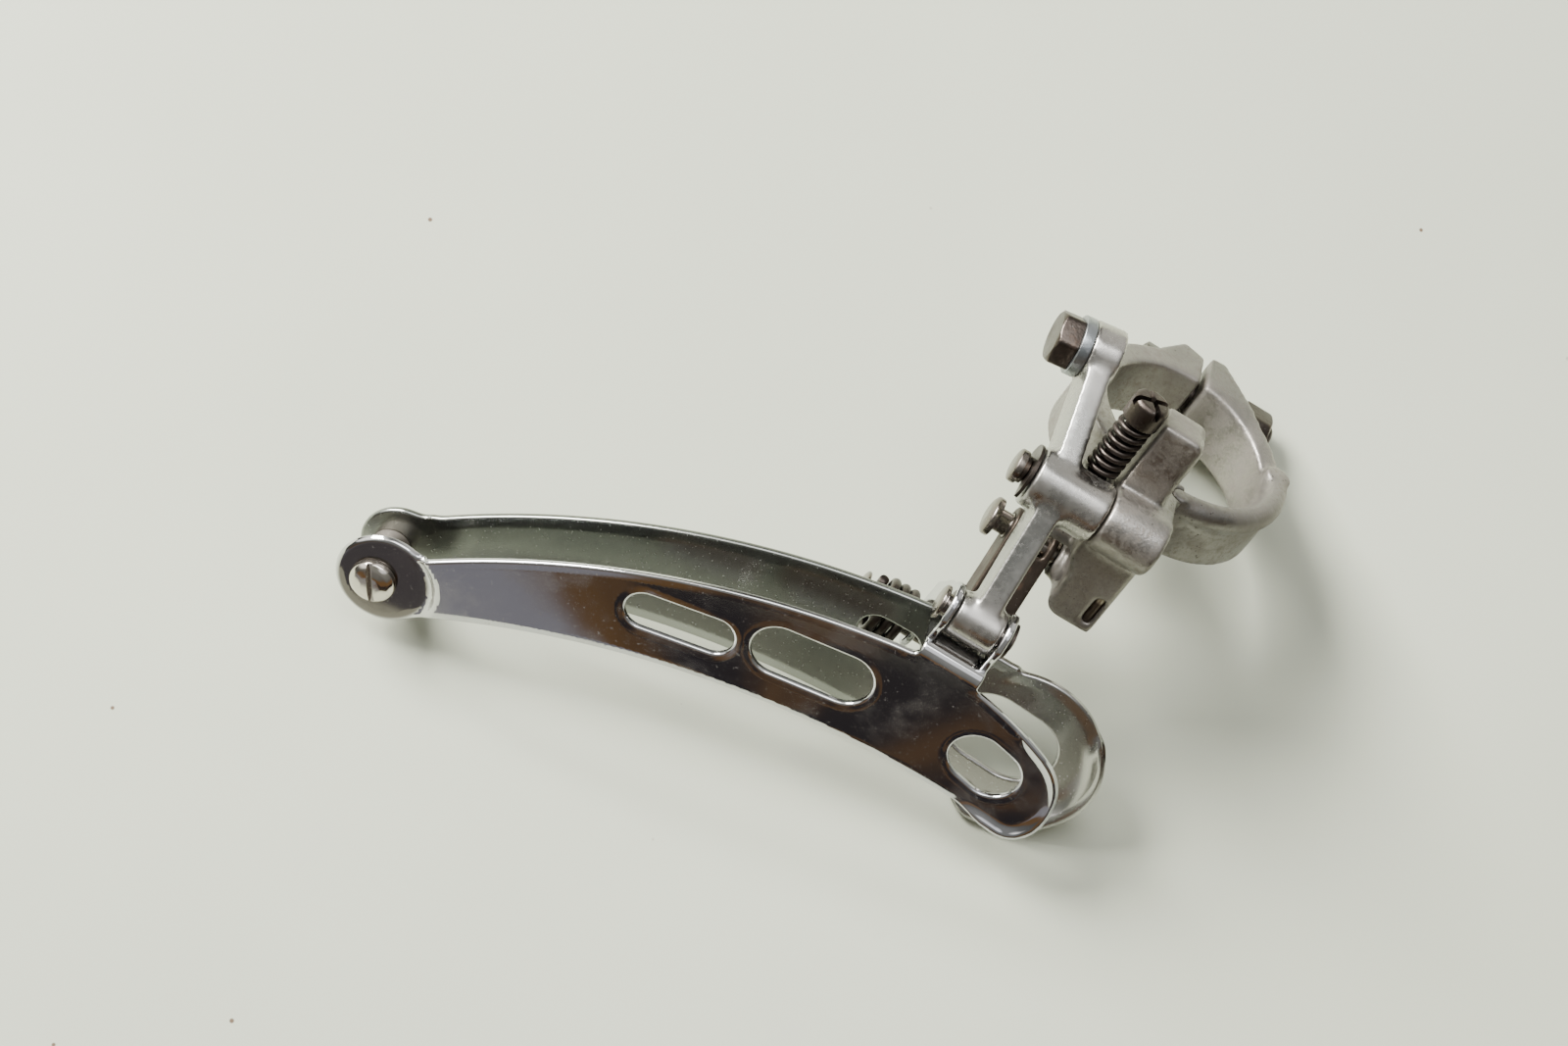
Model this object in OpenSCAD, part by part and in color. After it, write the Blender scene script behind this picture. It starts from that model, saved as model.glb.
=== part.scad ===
// Clamp-on front derailleur with a pressed steel chain cage.
// Origin: centre of the seat tube clamp. +Z up the seat tube, +X forward, +Y towards the frame,
// so the chain cage hangs on the -Y side. Millimetres.

/* [Seat tube clamp] */
// Seat tube diameter that the clamp grips
tube_d = 28.6; // [28.4:0.1:28.8]
// Height of the clamp ring
clamp_h = 11; // [10.6:0.1:11.4]
// Wall thickness of the front half of the clamp
clamp_wall = 3.4; // [3.2:0.1:3.8]
// Wall thickness of the rear half of the clamp
rear_wall = 4.4; // [4:0.1:4.8]
// Gap between the two clamp ears
clamp_slit = 1; // [0.8:0.1:1.4]
// Distance of the clamp bolt from the tube axis
clamp_bolt_y = 19.8; // [19.2:0.1:20]

/* [Linkage] */
// Upper lever pivot, sideways and up from the origin
upper_pivot = [-27, 1.4]; // [-28:0.1:28]
// Upper pivot of the inner link
link_pivot = [-19.3, -13.4]; // [-28:0.1:28]
// Pivot between the lever and the cage
cage_pivot = [-39.4, -17.4]; // [-45:0.1:45]
// Pivot between the inner link and the cage
cage_link_pivot = [-28.2, -32]; // [-45:0.1:45]
// Cable eye of the lever
cable_eye = [-10.5, 14.8]; // [-20:0.1:20]
// Backward lean of the lever's cable arm, degrees
arm_lean = 8; // [6:0.5:9]

/* [Cage] */
// Thickness of the cage sheet
sheet = 1.2; // [1:0.1:1.3]
// Outboard face of the outer plate
outer_y = -45.2; // [-45.4:0.1:-45]
// Outboard face of the inner plate
inner_y = -34.8; // [-34.9:0.1:-34.6]
// Radius of the upper edge of both plates
top_edge_r = 132; // [130:1:134]
// Radius of the lower edge of the outer plate, round the chainring
lower_edge_r = 140; // [139:1:141]
// Centre of the rear screw, forward and up from the origin
tail = [-94, -64]; // [-95:0.1:-60]
// How far the rear end of the outer plate is pressed inwards
joggle = 1.5; // [1:0.1:1.8]

/* [Hidden] */
$fn = 72;
tube_r = tube_d / 2;
ring_r = tube_r + clamp_wall;
rear_r = tube_r + rear_wall;
ear_x = clamp_slit / 2;
slit_x = 0.8;
running = 0.05;
open_gap = 0.15;
pin_r = 2.2;
link_pin_r = 2.0;
lower_pin_r = 1.8;
barrel_r = 4.75;
lower_barrel_r = 3.5;
ear_rear = [-22.0, -20.8];
ear_front = [-12.9, -11.7];
body_x = [-9.2, 0.6];
lever_x = [-21.2, -9.35];
arm_mid_x = -17.4;
arm_t = 3.8;
eye_t = 5;
eye_r = 4.7;
lower_barrel_x = [-20.6, -13.1];
cheek_rear = [-17.4, -16.3];
cheek_front = [-10.9, -9.8];
bridge_top = cage_pivot[1] - lower_barrel_r - 0.5;
bend_r = 2.0;
post_x = [-9.1, -2];
post_y = [-23.6, -17.6];
post_top = 17.8;
post_round = 2;
lug_x = [-7.6, 0.6];
lug_y = [-27.4, -16];
lug_z = -17.8;
lug_round = 2.5;
ledge_top = -7.3;
spring_r = 2.9;
bolt_z = -0.8;
bolt_r = 2.5;
bolt_flats = 7.6;
bolt_head_x = [-8.8, -5];
washer_x = [[-5, -4], [8.6, 10]];
nut_x = [10, 14.8];
spot_r = 4.9;
ear_tip = [[-3.6, 23], [4, 23.4]];
ear_drop = [1.3, 0.1];
ear_root = [[-9, 15.8], [12.7, 12.3]];
hook = [0.9, -17];
hook_r = 1.5;
front_cut_x = 1.6;
rim_r = 2;
rim_mean_r = 16.5;
rim_ends = [-84, 11];
strap_low = clamp_h / 2 - rim_r;
strap_slope_y = [3, 15.5];
limb_x = [-18.6, -14.7];
screw_tip_z = -5.2;
screw_head_r = 2.9;
coil_r = 4.3;
top_c = [-1.6, -154.1];
lower_c = [-10.3, -183.2];
brow_c = [-21.5, -83.3];
brow_r = 60;
nose_c = [-1, -37.2];
nose_r = 9.5;
toe_c = [3.8, -39.9];
toe_r = 3.95;
lip = 1.2;
inner_low_c = [-16, -187];
inner_low_r = 141;
inner_nose_c = [0.5, -36.8];
inner_nose_r = 13.4;
inner_lip = 3;
inner_lift = 1.1;
inner_shoulder = -24.3;
tail_disc = tail + [1.3, 0.7];
tail_disc_r = 7.3;
tail_screw_r = 1.6;
tail_head_r = 3.6;
inner_limit = [-1, -25.8];
inner_limit_r = 1;
lug_window = [1.4, 4.9];
lug_window_z = -16;
cable_r = 2.0;
eye_at = cable_eye - upper_pivot;
spring_wire = 0.85;
limit_x = -12.4;
limit_y = -22.2;
limit_r = 1.5;
seat_z = 4.6;
head_z = 15.6;

// Round bar along X between two stations, centred on a [y, z] point
module bar_x(x, p, r) {
  translate([x[0], p[0], p[1]])
    rotate([0, 90, 0])
      cylinder(h = x[1] - x[0], r = r);
}

// Round bar along Y
module bar_y(y, p, r) {
  translate([p[0], y[0], p[1]])
    rotate([-90, 0, 0])
      cylinder(h = y[1] - y[0], r = r);
}

// Round bar along Z, centred on an [x, y] point
module bar_z(p, z, r) {
  translate([p[0], p[1], z[0]])
    cylinder(h = z[1] - z[0], r = r);
}

// Sheet drawn in [x, z] and thick along Y
module in_xz(y) {
  translate([0, y[1], 0])
    rotate([90, 0, 0])
      linear_extrude(y[1] - y[0])
        children();
}

// Slab drawn in [y, z] and thick along X
module in_yz(x) {
  translate([x[0], 0, 0])
    rotate([90, 0, 90])
      linear_extrude(x[1] - x[0])
        children();
}

// Flat link outline between two rounded ends of different radius
module link_2d(p, rp, q, rq) {
  along = (q - p) / norm(q - p);
  side = [-along[1], along[0]];
  translate(p)
    circle(rp);
  translate(q)
    circle(rq);
  polygon([p + side * rp, q + side * rq, q - side * rq, p - side * rp]);
}

// Straight slot outline with round ends
module slot_2d(p, q, r) {
  link_2d(p, r, q, r);
}

// Hexagonal prism along X, flat to flat
module hex_x(x, p, flats) {
  translate([x[0], p[0], p[1]])
    rotate([0, 90, 0])
      cylinder(h = x[1] - x[0], r = flats / 2 / cos(30), $fn = 6);
}

// Slab between two stations along X, h tall
module half_space(x, h) {
  translate([x[0], -60, -h / 2])
    cube([x[1] - x[0], 120, h]);
}

// Wedge-shaped clamp ear on one side of the slit, drawn from above
module ear_wedge(side) {
  i = side < 0 ? 0 : 1;
  translate([0, 0, -clamp_h / 2])
    linear_extrude(clamp_h)
      polygon([
        [slit_x + side * ear_x, tube_r - 2],
        [slit_x + side * ear_x, ear_tip[i][1] - ear_drop[i]],
        ear_tip[i],
        ear_root[i],
        [side * tube_r * 0.7, tube_r * 0.6]
      ]);
}

// Round boss of an ear, along the clamp bolt
module ear_boss(x, r) {
  bar_x(x, [clamp_bolt_y, bolt_z], r);
}

module bolt_path() {
  bar_x([-30, 30], [clamp_bolt_y, bolt_z], bolt_r + 0.1);
}

module seat_tube() {
  translate([0, 0, -50])
    cylinder(h = 100, r = tube_r, $fn = 96);
}

module ring(r) {
  translate([0, 0, -clamp_h / 2])
    cylinder(h = clamp_h, r = r, $fn = 96);
}

module clamp_body() {
  color("silver")
    difference() {
      union() {
        intersection() {
          union() {
            ring(rear_r);
            ear_wedge(-1);
          }
          union() {
            half_space([-40, slit_x - ear_x], 60);
            translate([-2, -40, -30])
              cube([front_cut_x - 0.1 + 2, 40, 60]);
          }
        }
        ear_boss([washer_x[0][1], slit_x - ear_x], 3.7);
        bar_x(body_x, upper_pivot, barrel_r);
        translate([body_x[0], upper_pivot[0], -clamp_h / 2])
          cube([body_x[1] - body_x[0], 14, clamp_h]);
        body_post();
        body_lug();
        translate([-13.6, -23.6, ledge_top - 1.6])
          cube([4.8, 3.2, 1.6]);
      }
      seat_tube();
      bolt_path();
      bar_x([-16, washer_x[0][1]], [clamp_bolt_y, bolt_z], spot_r);
      bar_x([-40, 20], upper_pivot, pin_r);
      bar_x([-40, 20], link_pivot, link_pin_r);
      bar_z(hook, [-30, 30], hook_r + running);
      translate([inner_limit[0] - lug_window[0] / 2, -28, lug_window_z])
        cube([lug_window[0], 2.8, lug_window[1]]);
      bar_z(inner_limit, [-30, -5], inner_limit_r);
      arm_relief();
    }
}

// Shallow pocket in the ring's rear that the cable eye swings past
module arm_relief() {
  translate([-40, -14, 0.7])
    cube([40 - 17.5, 17, 10]);
}

// Square upright behind the limit screw, its top front edge rounded
module body_post() {
  edge = post_x[1] - post_round;
  translate([0, post_y[1], 0])
    rotate([90, 0, 0])
      linear_extrude(post_y[1] - post_y[0]) {
        polygon([
          [post_x[0], 0],
          [post_x[0], post_top],
          [edge, post_top],
          [edge, post_top - post_round],
          [post_x[1], post_top - post_round],
          [post_x[1], 0]
        ]);
        translate([edge, post_top - post_round])
          circle(post_round);
      }
}

// Lug that holds the inner link's pivot, its lower rear edge rounded
module body_lug() {
  corner = lug_x[0] + lug_round;
  translate([0, lug_y[1], 0])
    rotate([90, 0, 0])
      linear_extrude(lug_y[1] - lug_y[0]) {
        polygon([
          [body_x[0], 0],
          [body_x[0], -7],
          [lug_x[0], -10],
          [lug_x[0], lug_z + lug_round],
          [corner, lug_z + lug_round],
          [corner, lug_z],
          [lug_x[1], lug_z],
          [lug_x[1], 0]
        ]);
        translate([corner, lug_z + lug_round])
          circle(lug_round);
      }
  bar_x([body_x[0], lug_x[0] + 1], link_pivot, 3.6);
}

module clamp_front_half() {
  color("gainsboro")
    difference() {
      union() {
        intersection() {
          union() {
            ring(ring_r);
            ear_wedge(1);
          }
          strap_region();
        }
        clamp_rim();
        ear_boss([slit_x + ear_x, washer_x[1][0]], 3.8);
        bar_z(hook, [-clamp_h / 2, clamp_h / 2], hook_r);
      }
      seat_tube();
      bolt_path();
      bar_x([washer_x[1][0], 18], [clamp_bolt_y, bolt_z], spot_r);
    }
}

// Everything in front of the slit and the hook, below the strap's sloping top edge
module strap_region() {
  difference() {
    union() {
      translate([slit_x + ear_x, 0, -30])
        cube([40, 60, 60]);
      translate([front_cut_x, -60, -30])
        cube([40, 61, 60]);
    }
    in_yz([0, 40])
      polygon([
        [-40, strap_low],
        [strap_slope_y[0], strap_low],
        [strap_slope_y[1], clamp_h / 2],
        [strap_slope_y[1], 20],
        [-40, 20]
      ]);
  }
}

// Rounded rim along the outboard half of the strap, ending in a round tip
module clamp_rim() {
  translate([0, 0, strap_low]) {
    rotate([0, 0, rim_ends[0]])
      rotate_extrude(angle = rim_ends[1] - rim_ends[0])
        translate([rim_mean_r, 0])
          circle(rim_r);
    translate([rim_mean_r * cos(rim_ends[1]), rim_mean_r * sin(rim_ends[1]), -rim_r - 0.5])
      cylinder(h = 2 * rim_r + 0.2, r = rim_r + 0.15);
  }
}

module clamp_bolt() {
  color("dimgray") {
    bar_x([bolt_head_x[1] - 0.2, nut_x[1] + 1], [clamp_bolt_y, bolt_z], bolt_r);
    hex_x(bolt_head_x, [clamp_bolt_y, bolt_z], bolt_flats);
  }
}

module clamp_washers() {
  color("dimgray")
    for (x = washer_x)
      difference() {
        bar_x(x, [clamp_bolt_y, bolt_z], 4.1);
        bolt_path();
      }
}

module clamp_nut() {
  color("dimgray")
    difference() {
      hex_x(nut_x, [clamp_bolt_y, bolt_z], bolt_flats);
      bar_x([nut_x[0] - 1, nut_x[1] + 1.2], [clamp_bolt_y, bolt_z], bolt_r);
    }
}

// Headed pin that points forward from its head
module headed_pin(x, p, r, head_r, head) {
  bar_x(x, p, r);
  bar_x([x[0] - head, x[0]], p, head_r);
}

module upper_pivot_pin() {
  color("gray")
    difference() {
      headed_pin([-22.8, body_x[1]], upper_pivot, pin_r, 2.6, 1.5);
      ring_groove([-22.1, -21.4], upper_pivot, 1.7, pin_r);
    }
}

// Groove round a bar along X
module ring_groove(x, p, r, bar_r) {
  difference() {
    bar_x(x, p, bar_r + 1);
    bar_x([x[0] - 1, x[1] + 1], p, r);
  }
}

// Snap ring that sits in a groove
module snap_ring(x, p, r, groove_r) {
  difference() {
    bar_x(x, p, r);
    bar_x([x[0] - 1, x[1] + 1], p, groove_r);
    translate([x[0] - 1, p[0] - groove_r * 0.8, p[1] - r - 1])
      cube([x[1] - x[0] + 2, groove_r * 1.6, r + 1]);
  }
}

module upper_pivot_clip() {
  color("dimgray")
    snap_ring([-22.0, -21.5], upper_pivot, 4.4, 1.72);
}

module link_pivot_pin() {
  color("gray")
    difference() {
      headed_pin([-19.6, body_x[1]], link_pivot, link_pin_r, 3.1, 1.6);
      ring_groove([-19.5, -17.5], link_pivot, 1.5, link_pin_r);
    }
}

module inner_limit_screw() {
  color("dimgray")
    bar_z(inner_limit, [lug_z + 1, -5.2], inner_limit_r);
}

// Moves a shape drawn along X on the upper pivot into the leaning cable arm
module cable_arm_place() {
  along = (cable_eye - upper_pivot) / norm(cable_eye - upper_pivot);
  translate([arm_mid_x, upper_pivot[0], upper_pivot[1]])
    rotate(a = arm_lean, v = [0, -along[1], along[0]])
      children();
}

module lever() {
  color("silver")
    difference() {
      union() {
        bar_x(lever_x, upper_pivot, barrel_r);
        cable_arm_place() {
          in_yz([-arm_t / 2, arm_t / 2])
            link_2d([0, 0], 4.2, eye_at, 3.7);
          bar_x([-eye_t / 2, eye_t / 2], eye_at, eye_r);
        }
        in_yz(limb_x)
          link_2d(upper_pivot, 3.9, cage_pivot, 3.0);
        bar_x(lower_barrel_x, cage_pivot, lower_barrel_r);
        translate([-15, upper_pivot[0], -1.4])
          cube([15 + lever_x[1], 7.2, seat_z + 1.4]);
      }
      bar_x([-40, 0], upper_pivot, pin_r + running);
      bar_x([-40, 0], cage_pivot, lower_pin_r + running);
      bar_z([limit_x, limit_y], [-10, 10], limit_r);
      bar_z([limit_x, limit_y], [seat_z, head_z], spring_r);
      cable_arm_place()
        bar_x([-8, 8], eye_at, cable_r);
    }
}

module cable_bolt() {
  color("dimgray")
    cable_arm_place() {
      bar_x([-eye_t / 2 - 2, eye_t / 2 + 0.2], eye_at, cable_r);
      hex_x([-eye_t / 2 - 5.1, -eye_t / 2 - 1.7], eye_at, 7.6);
    }
}

module cable_washer() {
  color("lightsteelblue")
    cable_arm_place()
      difference() {
        bar_x([-eye_t / 2 - 1.7, -eye_t / 2], eye_at, 4.6);
        bar_x([-8, 8], eye_at, cable_r);
      }
}

module outer_limit_screw() {
  color("dimgray")
    difference() {
      union() {
        bar_z([limit_x, limit_y], [screw_tip_z, head_z], limit_r);
        bar_z([limit_x, limit_y], [head_z, head_z + 4], screw_head_r);
      }
      translate([limit_x - 0.5, limit_y - 5, head_z + 2.4])
        cube([1, 10, 3]);
    }
}

// Close coils stand in as a stack of rings
module outer_limit_spring() {
  wire = 0.55;
  mean_r = 2.25;
  turns = 7;
  pitch = (head_z - seat_z - 2 * wire) / (turns - 1);
  color("dimgray")
    difference() {
      bar_z([limit_x, limit_y], [seat_z, head_z], mean_r + wire * 0.8);
      bar_z([limit_x, limit_y], [0, 20], mean_r - wire * 0.8);
      for (i = [0 : turns - 2])
        translate([limit_x, limit_y, seat_z + wire + pitch * (i + 0.5)])
          rotate_extrude()
            translate([mean_r + wire * 1.1, 0])
              circle(wire, $fn = 24);
    }
}

module inner_link() {
  color("saddlebrown")
    difference() {
      union() {
        for (x = [cheek_rear, cheek_front])
          in_yz(x)
            link_2d(link_pivot, 3.3, cage_link_pivot, 3.3);
        in_yz([cheek_rear[1], cheek_front[0]])
          link_web_2d();
      }
      bar_x([-40, 0], link_pivot, link_pin_r + running);
      bar_x([-40, 0], cage_link_pivot, lower_pin_r + open_gap);
    }
}

// Web of the inner link, on its outboard side and short of the cage ears
module link_web_2d() {
  along = (cage_link_pivot - link_pivot) / norm(cage_link_pivot - link_pivot);
  side = [along[1], -along[0]];
  start = link_pivot + along * 1.5;
  end = link_pivot + along * 11;
  polygon([start + side * 3.3, end + side * 3.3, end + side * 2.3, start + side * 2.3]);
}

// Torsion spring on the rear end of the lower pin, its coils as a stack of rings
module return_spring() {
  turns = 4;
  pitch = 1.75;
  x0 = ear_rear[0] - 0.3 - spring_wire;
  color("dimgray") {
    difference() {
      bar_x([x0 - pitch * (turns - 1) - spring_wire, x0 + spring_wire], cage_link_pivot,
        coil_r + spring_wire);
      bar_x([-60, 0], cage_link_pivot, coil_r - spring_wire * 0.8);
      for (i = [0 : turns - 2])
        translate([x0 - pitch * (i + 0.5), cage_link_pivot[0], cage_link_pivot[1]])
          rotate([0, 90, 0])
            rotate_extrude()
              translate([coil_r + spring_wire * 1.1, 0])
                circle(spring_wire * 0.75, $fn = 24);
    }
    spring_leg(x0);
  }
}

// Straight leg from the coil along the pin, behind the inner link
module spring_leg(x0) {
  along = (cage_link_pivot - link_pivot) / norm(cage_link_pivot - link_pivot);
  side = [-along[1], along[0]];
  bar_x([x0, cheek_rear[1] + 0.3], cage_link_pivot + side * coil_r, spring_wire * 0.8);
}

// Banana-shaped band between two arcs
module band_2d(x, lift, low_c, low_r) {
  difference() {
    intersection() {
      translate(top_c + [0, lift])
        circle(top_edge_r, $fn = 180);
      translate([x[0], -90])
        square([x[1] - x[0], 90]);
    }
    translate(low_c)
      circle(low_r, $fn = 180);
  }
}

module outer_outline_2d() {
  difference() {
    union() {
      band_2d([-88, brow_c[0]], 0, lower_c, lower_edge_r);
      brow_2d();
      translate(nose_c)
        circle(nose_r);
    }
    translate(lower_c)
      circle(lower_edge_r, $fn = 180);
    toe_corner_2d();
  }
}

// Part of the outer plate under its descending front upper edge
module brow_2d() {
  touch = nose_c[0] + nose_r * (nose_c[0] - brow_c[0]) / norm(nose_c - brow_c);
  intersection() {
    translate(brow_c)
      circle(brow_r, $fn = 180);
    translate(top_c)
      circle(top_edge_r, $fn = 180);
    translate([brow_c[0], -60])
      square([touch - brow_c[0], 60]);
  }
}

// What the rounded toe lacks of the corner under the nose
module toe_corner_2d() {
  ahead = (toe_c - nose_c) / norm(toe_c - nose_c);
  below = (lower_c - toe_c) / norm(lower_c - toe_c);
  difference() {
    polygon([toe_c, toe_c + ahead * 9, toe_c + [7, -9], toe_c + below * 9]);
    translate(toe_c)
      circle(toe_r);
  }
}

module outer_slots_2d() {
  slot_2d([-58, -42.2], [-47.6, -39.7], 3.1);
  slot_2d([-38.4, -36.1], [-28.2, -34.3], 4.3);
  slot_2d([-5.1, -34.7], [-2.1, -35.4], 4.3);
}

module tail_disc_2d(r) {
  translate(tail_disc)
    circle(r);
}

module cage_outer_plate() {
  color("slategray")
    difference() {
      union() {
        in_xz([outer_y, outer_y + sheet])
          difference() {
            outer_outline_2d();
            outer_slots_2d();
            tail_disc_2d(tail_disc_r - 0.1);
          }
        in_xz([outer_y, outer_y + sheet + joggle])
          intersection() {
            band_2d([-88, -7], 0, lower_c, lower_edge_r);
            difference() {
              tail_disc_2d(tail_disc_r + 1.3);
              tail_disc_2d(tail_disc_r - 0.1);
            }
          }
        in_xz([outer_y + joggle, outer_y + joggle + sheet])
          tail_disc_2d(tail_disc_r);
        in_xz([outer_y - lip, outer_y + 0.5])
          nose_lip_2d();
        cage_bridge();
        for (x = [ear_rear, ear_front])
          in_yz(x)
            ear_2d();
      }
      bar_x([-40, 0], cage_pivot, lower_pin_r);
      bar_x([-40, 0], cage_link_pivot, lower_pin_r);
      bar_y([-60, 0], tail, tail_screw_r);
    }
}

// Curled lower front rim of the outer plate
module nose_lip_2d() {
  intersection() {
    difference() {
      outer_outline_2d();
      intersection() {
        translate(nose_c)
          circle(nose_r - sheet);
        translate([-20, toe_c[1]])
          square([40, 30]);
      }
      translate(toe_c)
        circle(toe_r - sheet);
    }
    translate([toe_c[0] - 0.4, -46])
      square([10, 16.5]);
  }
}

// Rolled top edge and flat bridge between the two plates
module cage_bridge() {
  bend_c = [outer_y + bend_r, bridge_top - bend_r];
  in_yz([ear_rear[0], ear_front[1]])
    difference() {
      union() {
        translate([outer_y, bridge_top - bend_r - 3])
          square([sheet, 3]);
        intersection() {
          translate(bend_c)
            circle(bend_r);
          translate([outer_y, bridge_top - bend_r])
            square([bend_r, bend_r]);
        }
        translate([bend_c[0], bridge_top - sheet])
          square([inner_y + sheet - bend_c[0], sheet]);
      }
      translate(bend_c)
        circle(bend_r - sheet);
    }
}

// Ear of the cage with both pivots, in [y, z]
module ear_2d() {
  translate(cage_pivot)
    circle(3.8);
  translate(cage_link_pivot)
    circle(3.2);
  polygon([
    [cage_pivot[0] - 3.8, bridge_top - sheet],
    [cage_pivot[0] - 3.8, cage_pivot[1]],
    [cage_pivot[0] + 1, cage_pivot[1] + 3.6],
    [inner_y + 2.6, cage_pivot[1] - 0.6],
    [cage_link_pivot[0] + 2.4, bridge_top - 2.5],
    [cage_link_pivot[0] + 3.2, cage_link_pivot[1]],
    [cage_link_pivot[0] - 3.2, cage_link_pivot[1]],
    [inner_y + sheet, bridge_top - 5],
    [inner_y + sheet, bridge_top - sheet]
  ]);
}

module inner_outline_2d() {
  difference() {
    band_2d([-90, -6], inner_lift, inner_low_c, inner_low_r);
    translate([-24, bridge_top - sheet])
      square([40, 10]);
    translate([ear_front[1], inner_shoulder])
      square([20, 10]);
  }
  translate(inner_nose_c)
    circle(inner_nose_r);
  tail_disc_2d(6.6);
}

module cage_inner_plate() {
  color("lightslategray")
    difference() {
      union() {
        in_xz([inner_y, inner_y + sheet])
          inner_outline_2d();
        in_xz([inner_y - inner_lip, inner_y + 0.5])
          inner_lip_2d();
      }
      in_xz([inner_y - 5, inner_y + 5])
        slot_2d([-4, -36.4], [0.9, -36.7], 6.4);
      in_xz([inner_y - 5, inner_y + 5])
        slot_2d([-26.6, -31.6], [-22.5, -31.4], 2.9);
      bar_y([-60, 0], tail, tail_screw_r);
    }
}

// Curled front rim of the inner plate
module inner_lip_2d() {
  difference() {
    translate(inner_nose_c)
      circle(inner_nose_r);
    translate(inner_nose_c)
      circle(inner_nose_r - sheet);
    translate([-42, -60])
      square([40, 60]);
    translate([-40, -29])
      square([60, 30]);
  }
}

module cage_pivot_pin() {
  color("gray")
    difference() {
      headed_pin([-22.4, -10.6], cage_pivot, lower_pin_r, 2.7, 1.0);
      ring_groove([-11.5, -11.0], cage_pivot, 1.4, lower_pin_r);
    }
}

module cage_pivot_clip() {
  color("dimgray")
    snap_ring([-11.5, -11.05], cage_pivot, 2.9, 1.42);
}

module cage_link_pin() {
  color("gray")
    difference() {
      headed_pin([-30.8, -8.8], cage_link_pivot, lower_pin_r, 3.9, 0.8);
      ring_groove([-9.7, -9.2], cage_link_pivot, 1.4, lower_pin_r);
    }
}

module cage_link_clip() {
  color("dimgray")
    snap_ring([-9.7, -9.25], cage_link_pivot, 2.9, 1.42);
}

module tail_spacer() {
  color("silver")
    difference() {
      bar_y([outer_y + joggle + sheet, inner_y], tail, 3.1);
      bar_y([-60, 0], tail, tail_screw_r);
    }
}

module tail_screw() {
  face = outer_y + joggle;
  color("silver")
    difference() {
      union() {
        bar_y([face - 0.1, inner_y + sheet + 0.8], tail, tail_screw_r);
        bar_y([face - 2, face], tail, tail_head_r);
      }
      translate([tail[0], face - 2.5, tail[1]])
        rotate([0, -29, 0])
          translate([-0.45, 0, -5])
            cube([0.9, 1.4, 10]);
    }
}

clamp_body();
clamp_front_half();
clamp_bolt();
clamp_washers();
clamp_nut();
upper_pivot_pin();
upper_pivot_clip();
link_pivot_pin();
inner_limit_screw();
lever();
cable_bolt();
cable_washer();
outer_limit_screw();
outer_limit_spring();
inner_link();
return_spring();
cage_outer_plate();
cage_inner_plate();
cage_pivot_pin();
cage_pivot_clip();
cage_link_pin();
cage_link_clip();
tail_spacer();
tail_screw();
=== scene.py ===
"""Front derailleur on a pale table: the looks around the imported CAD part."""
import math

import bpy
import bmesh
import numpy as np
from mathutils import Matrix, Vector
from mathutils.geometry import delaunay_2d_cdt


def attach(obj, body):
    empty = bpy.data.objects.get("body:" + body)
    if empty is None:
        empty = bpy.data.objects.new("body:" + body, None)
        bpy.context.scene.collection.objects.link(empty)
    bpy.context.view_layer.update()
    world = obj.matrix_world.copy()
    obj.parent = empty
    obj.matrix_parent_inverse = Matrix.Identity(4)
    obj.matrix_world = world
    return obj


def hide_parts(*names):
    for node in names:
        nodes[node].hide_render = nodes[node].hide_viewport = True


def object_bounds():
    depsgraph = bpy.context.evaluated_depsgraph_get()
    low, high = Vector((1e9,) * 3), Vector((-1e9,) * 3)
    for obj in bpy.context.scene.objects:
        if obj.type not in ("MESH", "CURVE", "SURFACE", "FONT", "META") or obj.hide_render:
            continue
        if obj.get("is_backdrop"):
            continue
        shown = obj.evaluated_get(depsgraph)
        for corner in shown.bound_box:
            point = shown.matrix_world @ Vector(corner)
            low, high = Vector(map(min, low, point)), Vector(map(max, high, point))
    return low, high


MM = 0.001

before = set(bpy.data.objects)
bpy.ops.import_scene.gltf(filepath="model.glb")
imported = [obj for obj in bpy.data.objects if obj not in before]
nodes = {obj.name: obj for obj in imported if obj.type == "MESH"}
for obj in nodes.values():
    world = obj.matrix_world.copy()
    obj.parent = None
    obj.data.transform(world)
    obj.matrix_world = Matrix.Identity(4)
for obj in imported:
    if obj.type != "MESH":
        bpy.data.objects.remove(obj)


def as_lists(value):
    if isinstance(value, dict):
        return {k: as_lists(v) for k, v in value.items()}
    if isinstance(value, (int, float, str)) or value is None:
        return value
    return [as_lists(v) for v in value]


sizes = {"start": as_lists(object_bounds())}

# ---------------------------------------------------------------- dimensions, mm
# The four pivots as (y, z): lever and inner link on the clamp, cage on the lever and on the link.
P1, P2 = (-27.0, 1.4), (-19.3, -13.4)
Q1, Q2 = (-39.4, -17.4), (-28.2, -32.0)
# Cage sheet: outboard faces along Y, then centres (x, z) and radii of the outlines.
SHEET = 1.2
OUTER_Y, INNER_Y = -45.2, -34.8
TOP_C, TOP_R = (-1.6, -154.1), 132.0
LOW_C, LOW_R = (-10.3, -183.2), 140.0
IN_LOW_C, IN_LOW_R = (-16.0, -187.0), 141.0
BROW_C, BROW_R = (-21.5, -83.3), 60.0
NOSE_C, NOSE_R = (-1.0, -37.2), 9.5
TOE_C, TOE_R = (3.8, -39.89), 4.0
LIP, LIP_WIDTH = 1.15, 1.75
CURL_R, CURL = 3.2, 2.95
IN_NOSE_C, IN_NOSE_R = (0.5, -36.8), 13.4
TAIL = (-94.0, -64.0)
DISC_C, DISC_R = (-92.7, -63.3), 7.3
JOGGLE = 1.5
BRIDGE_TOP = -21.4
BEND_R = 2.0
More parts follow.
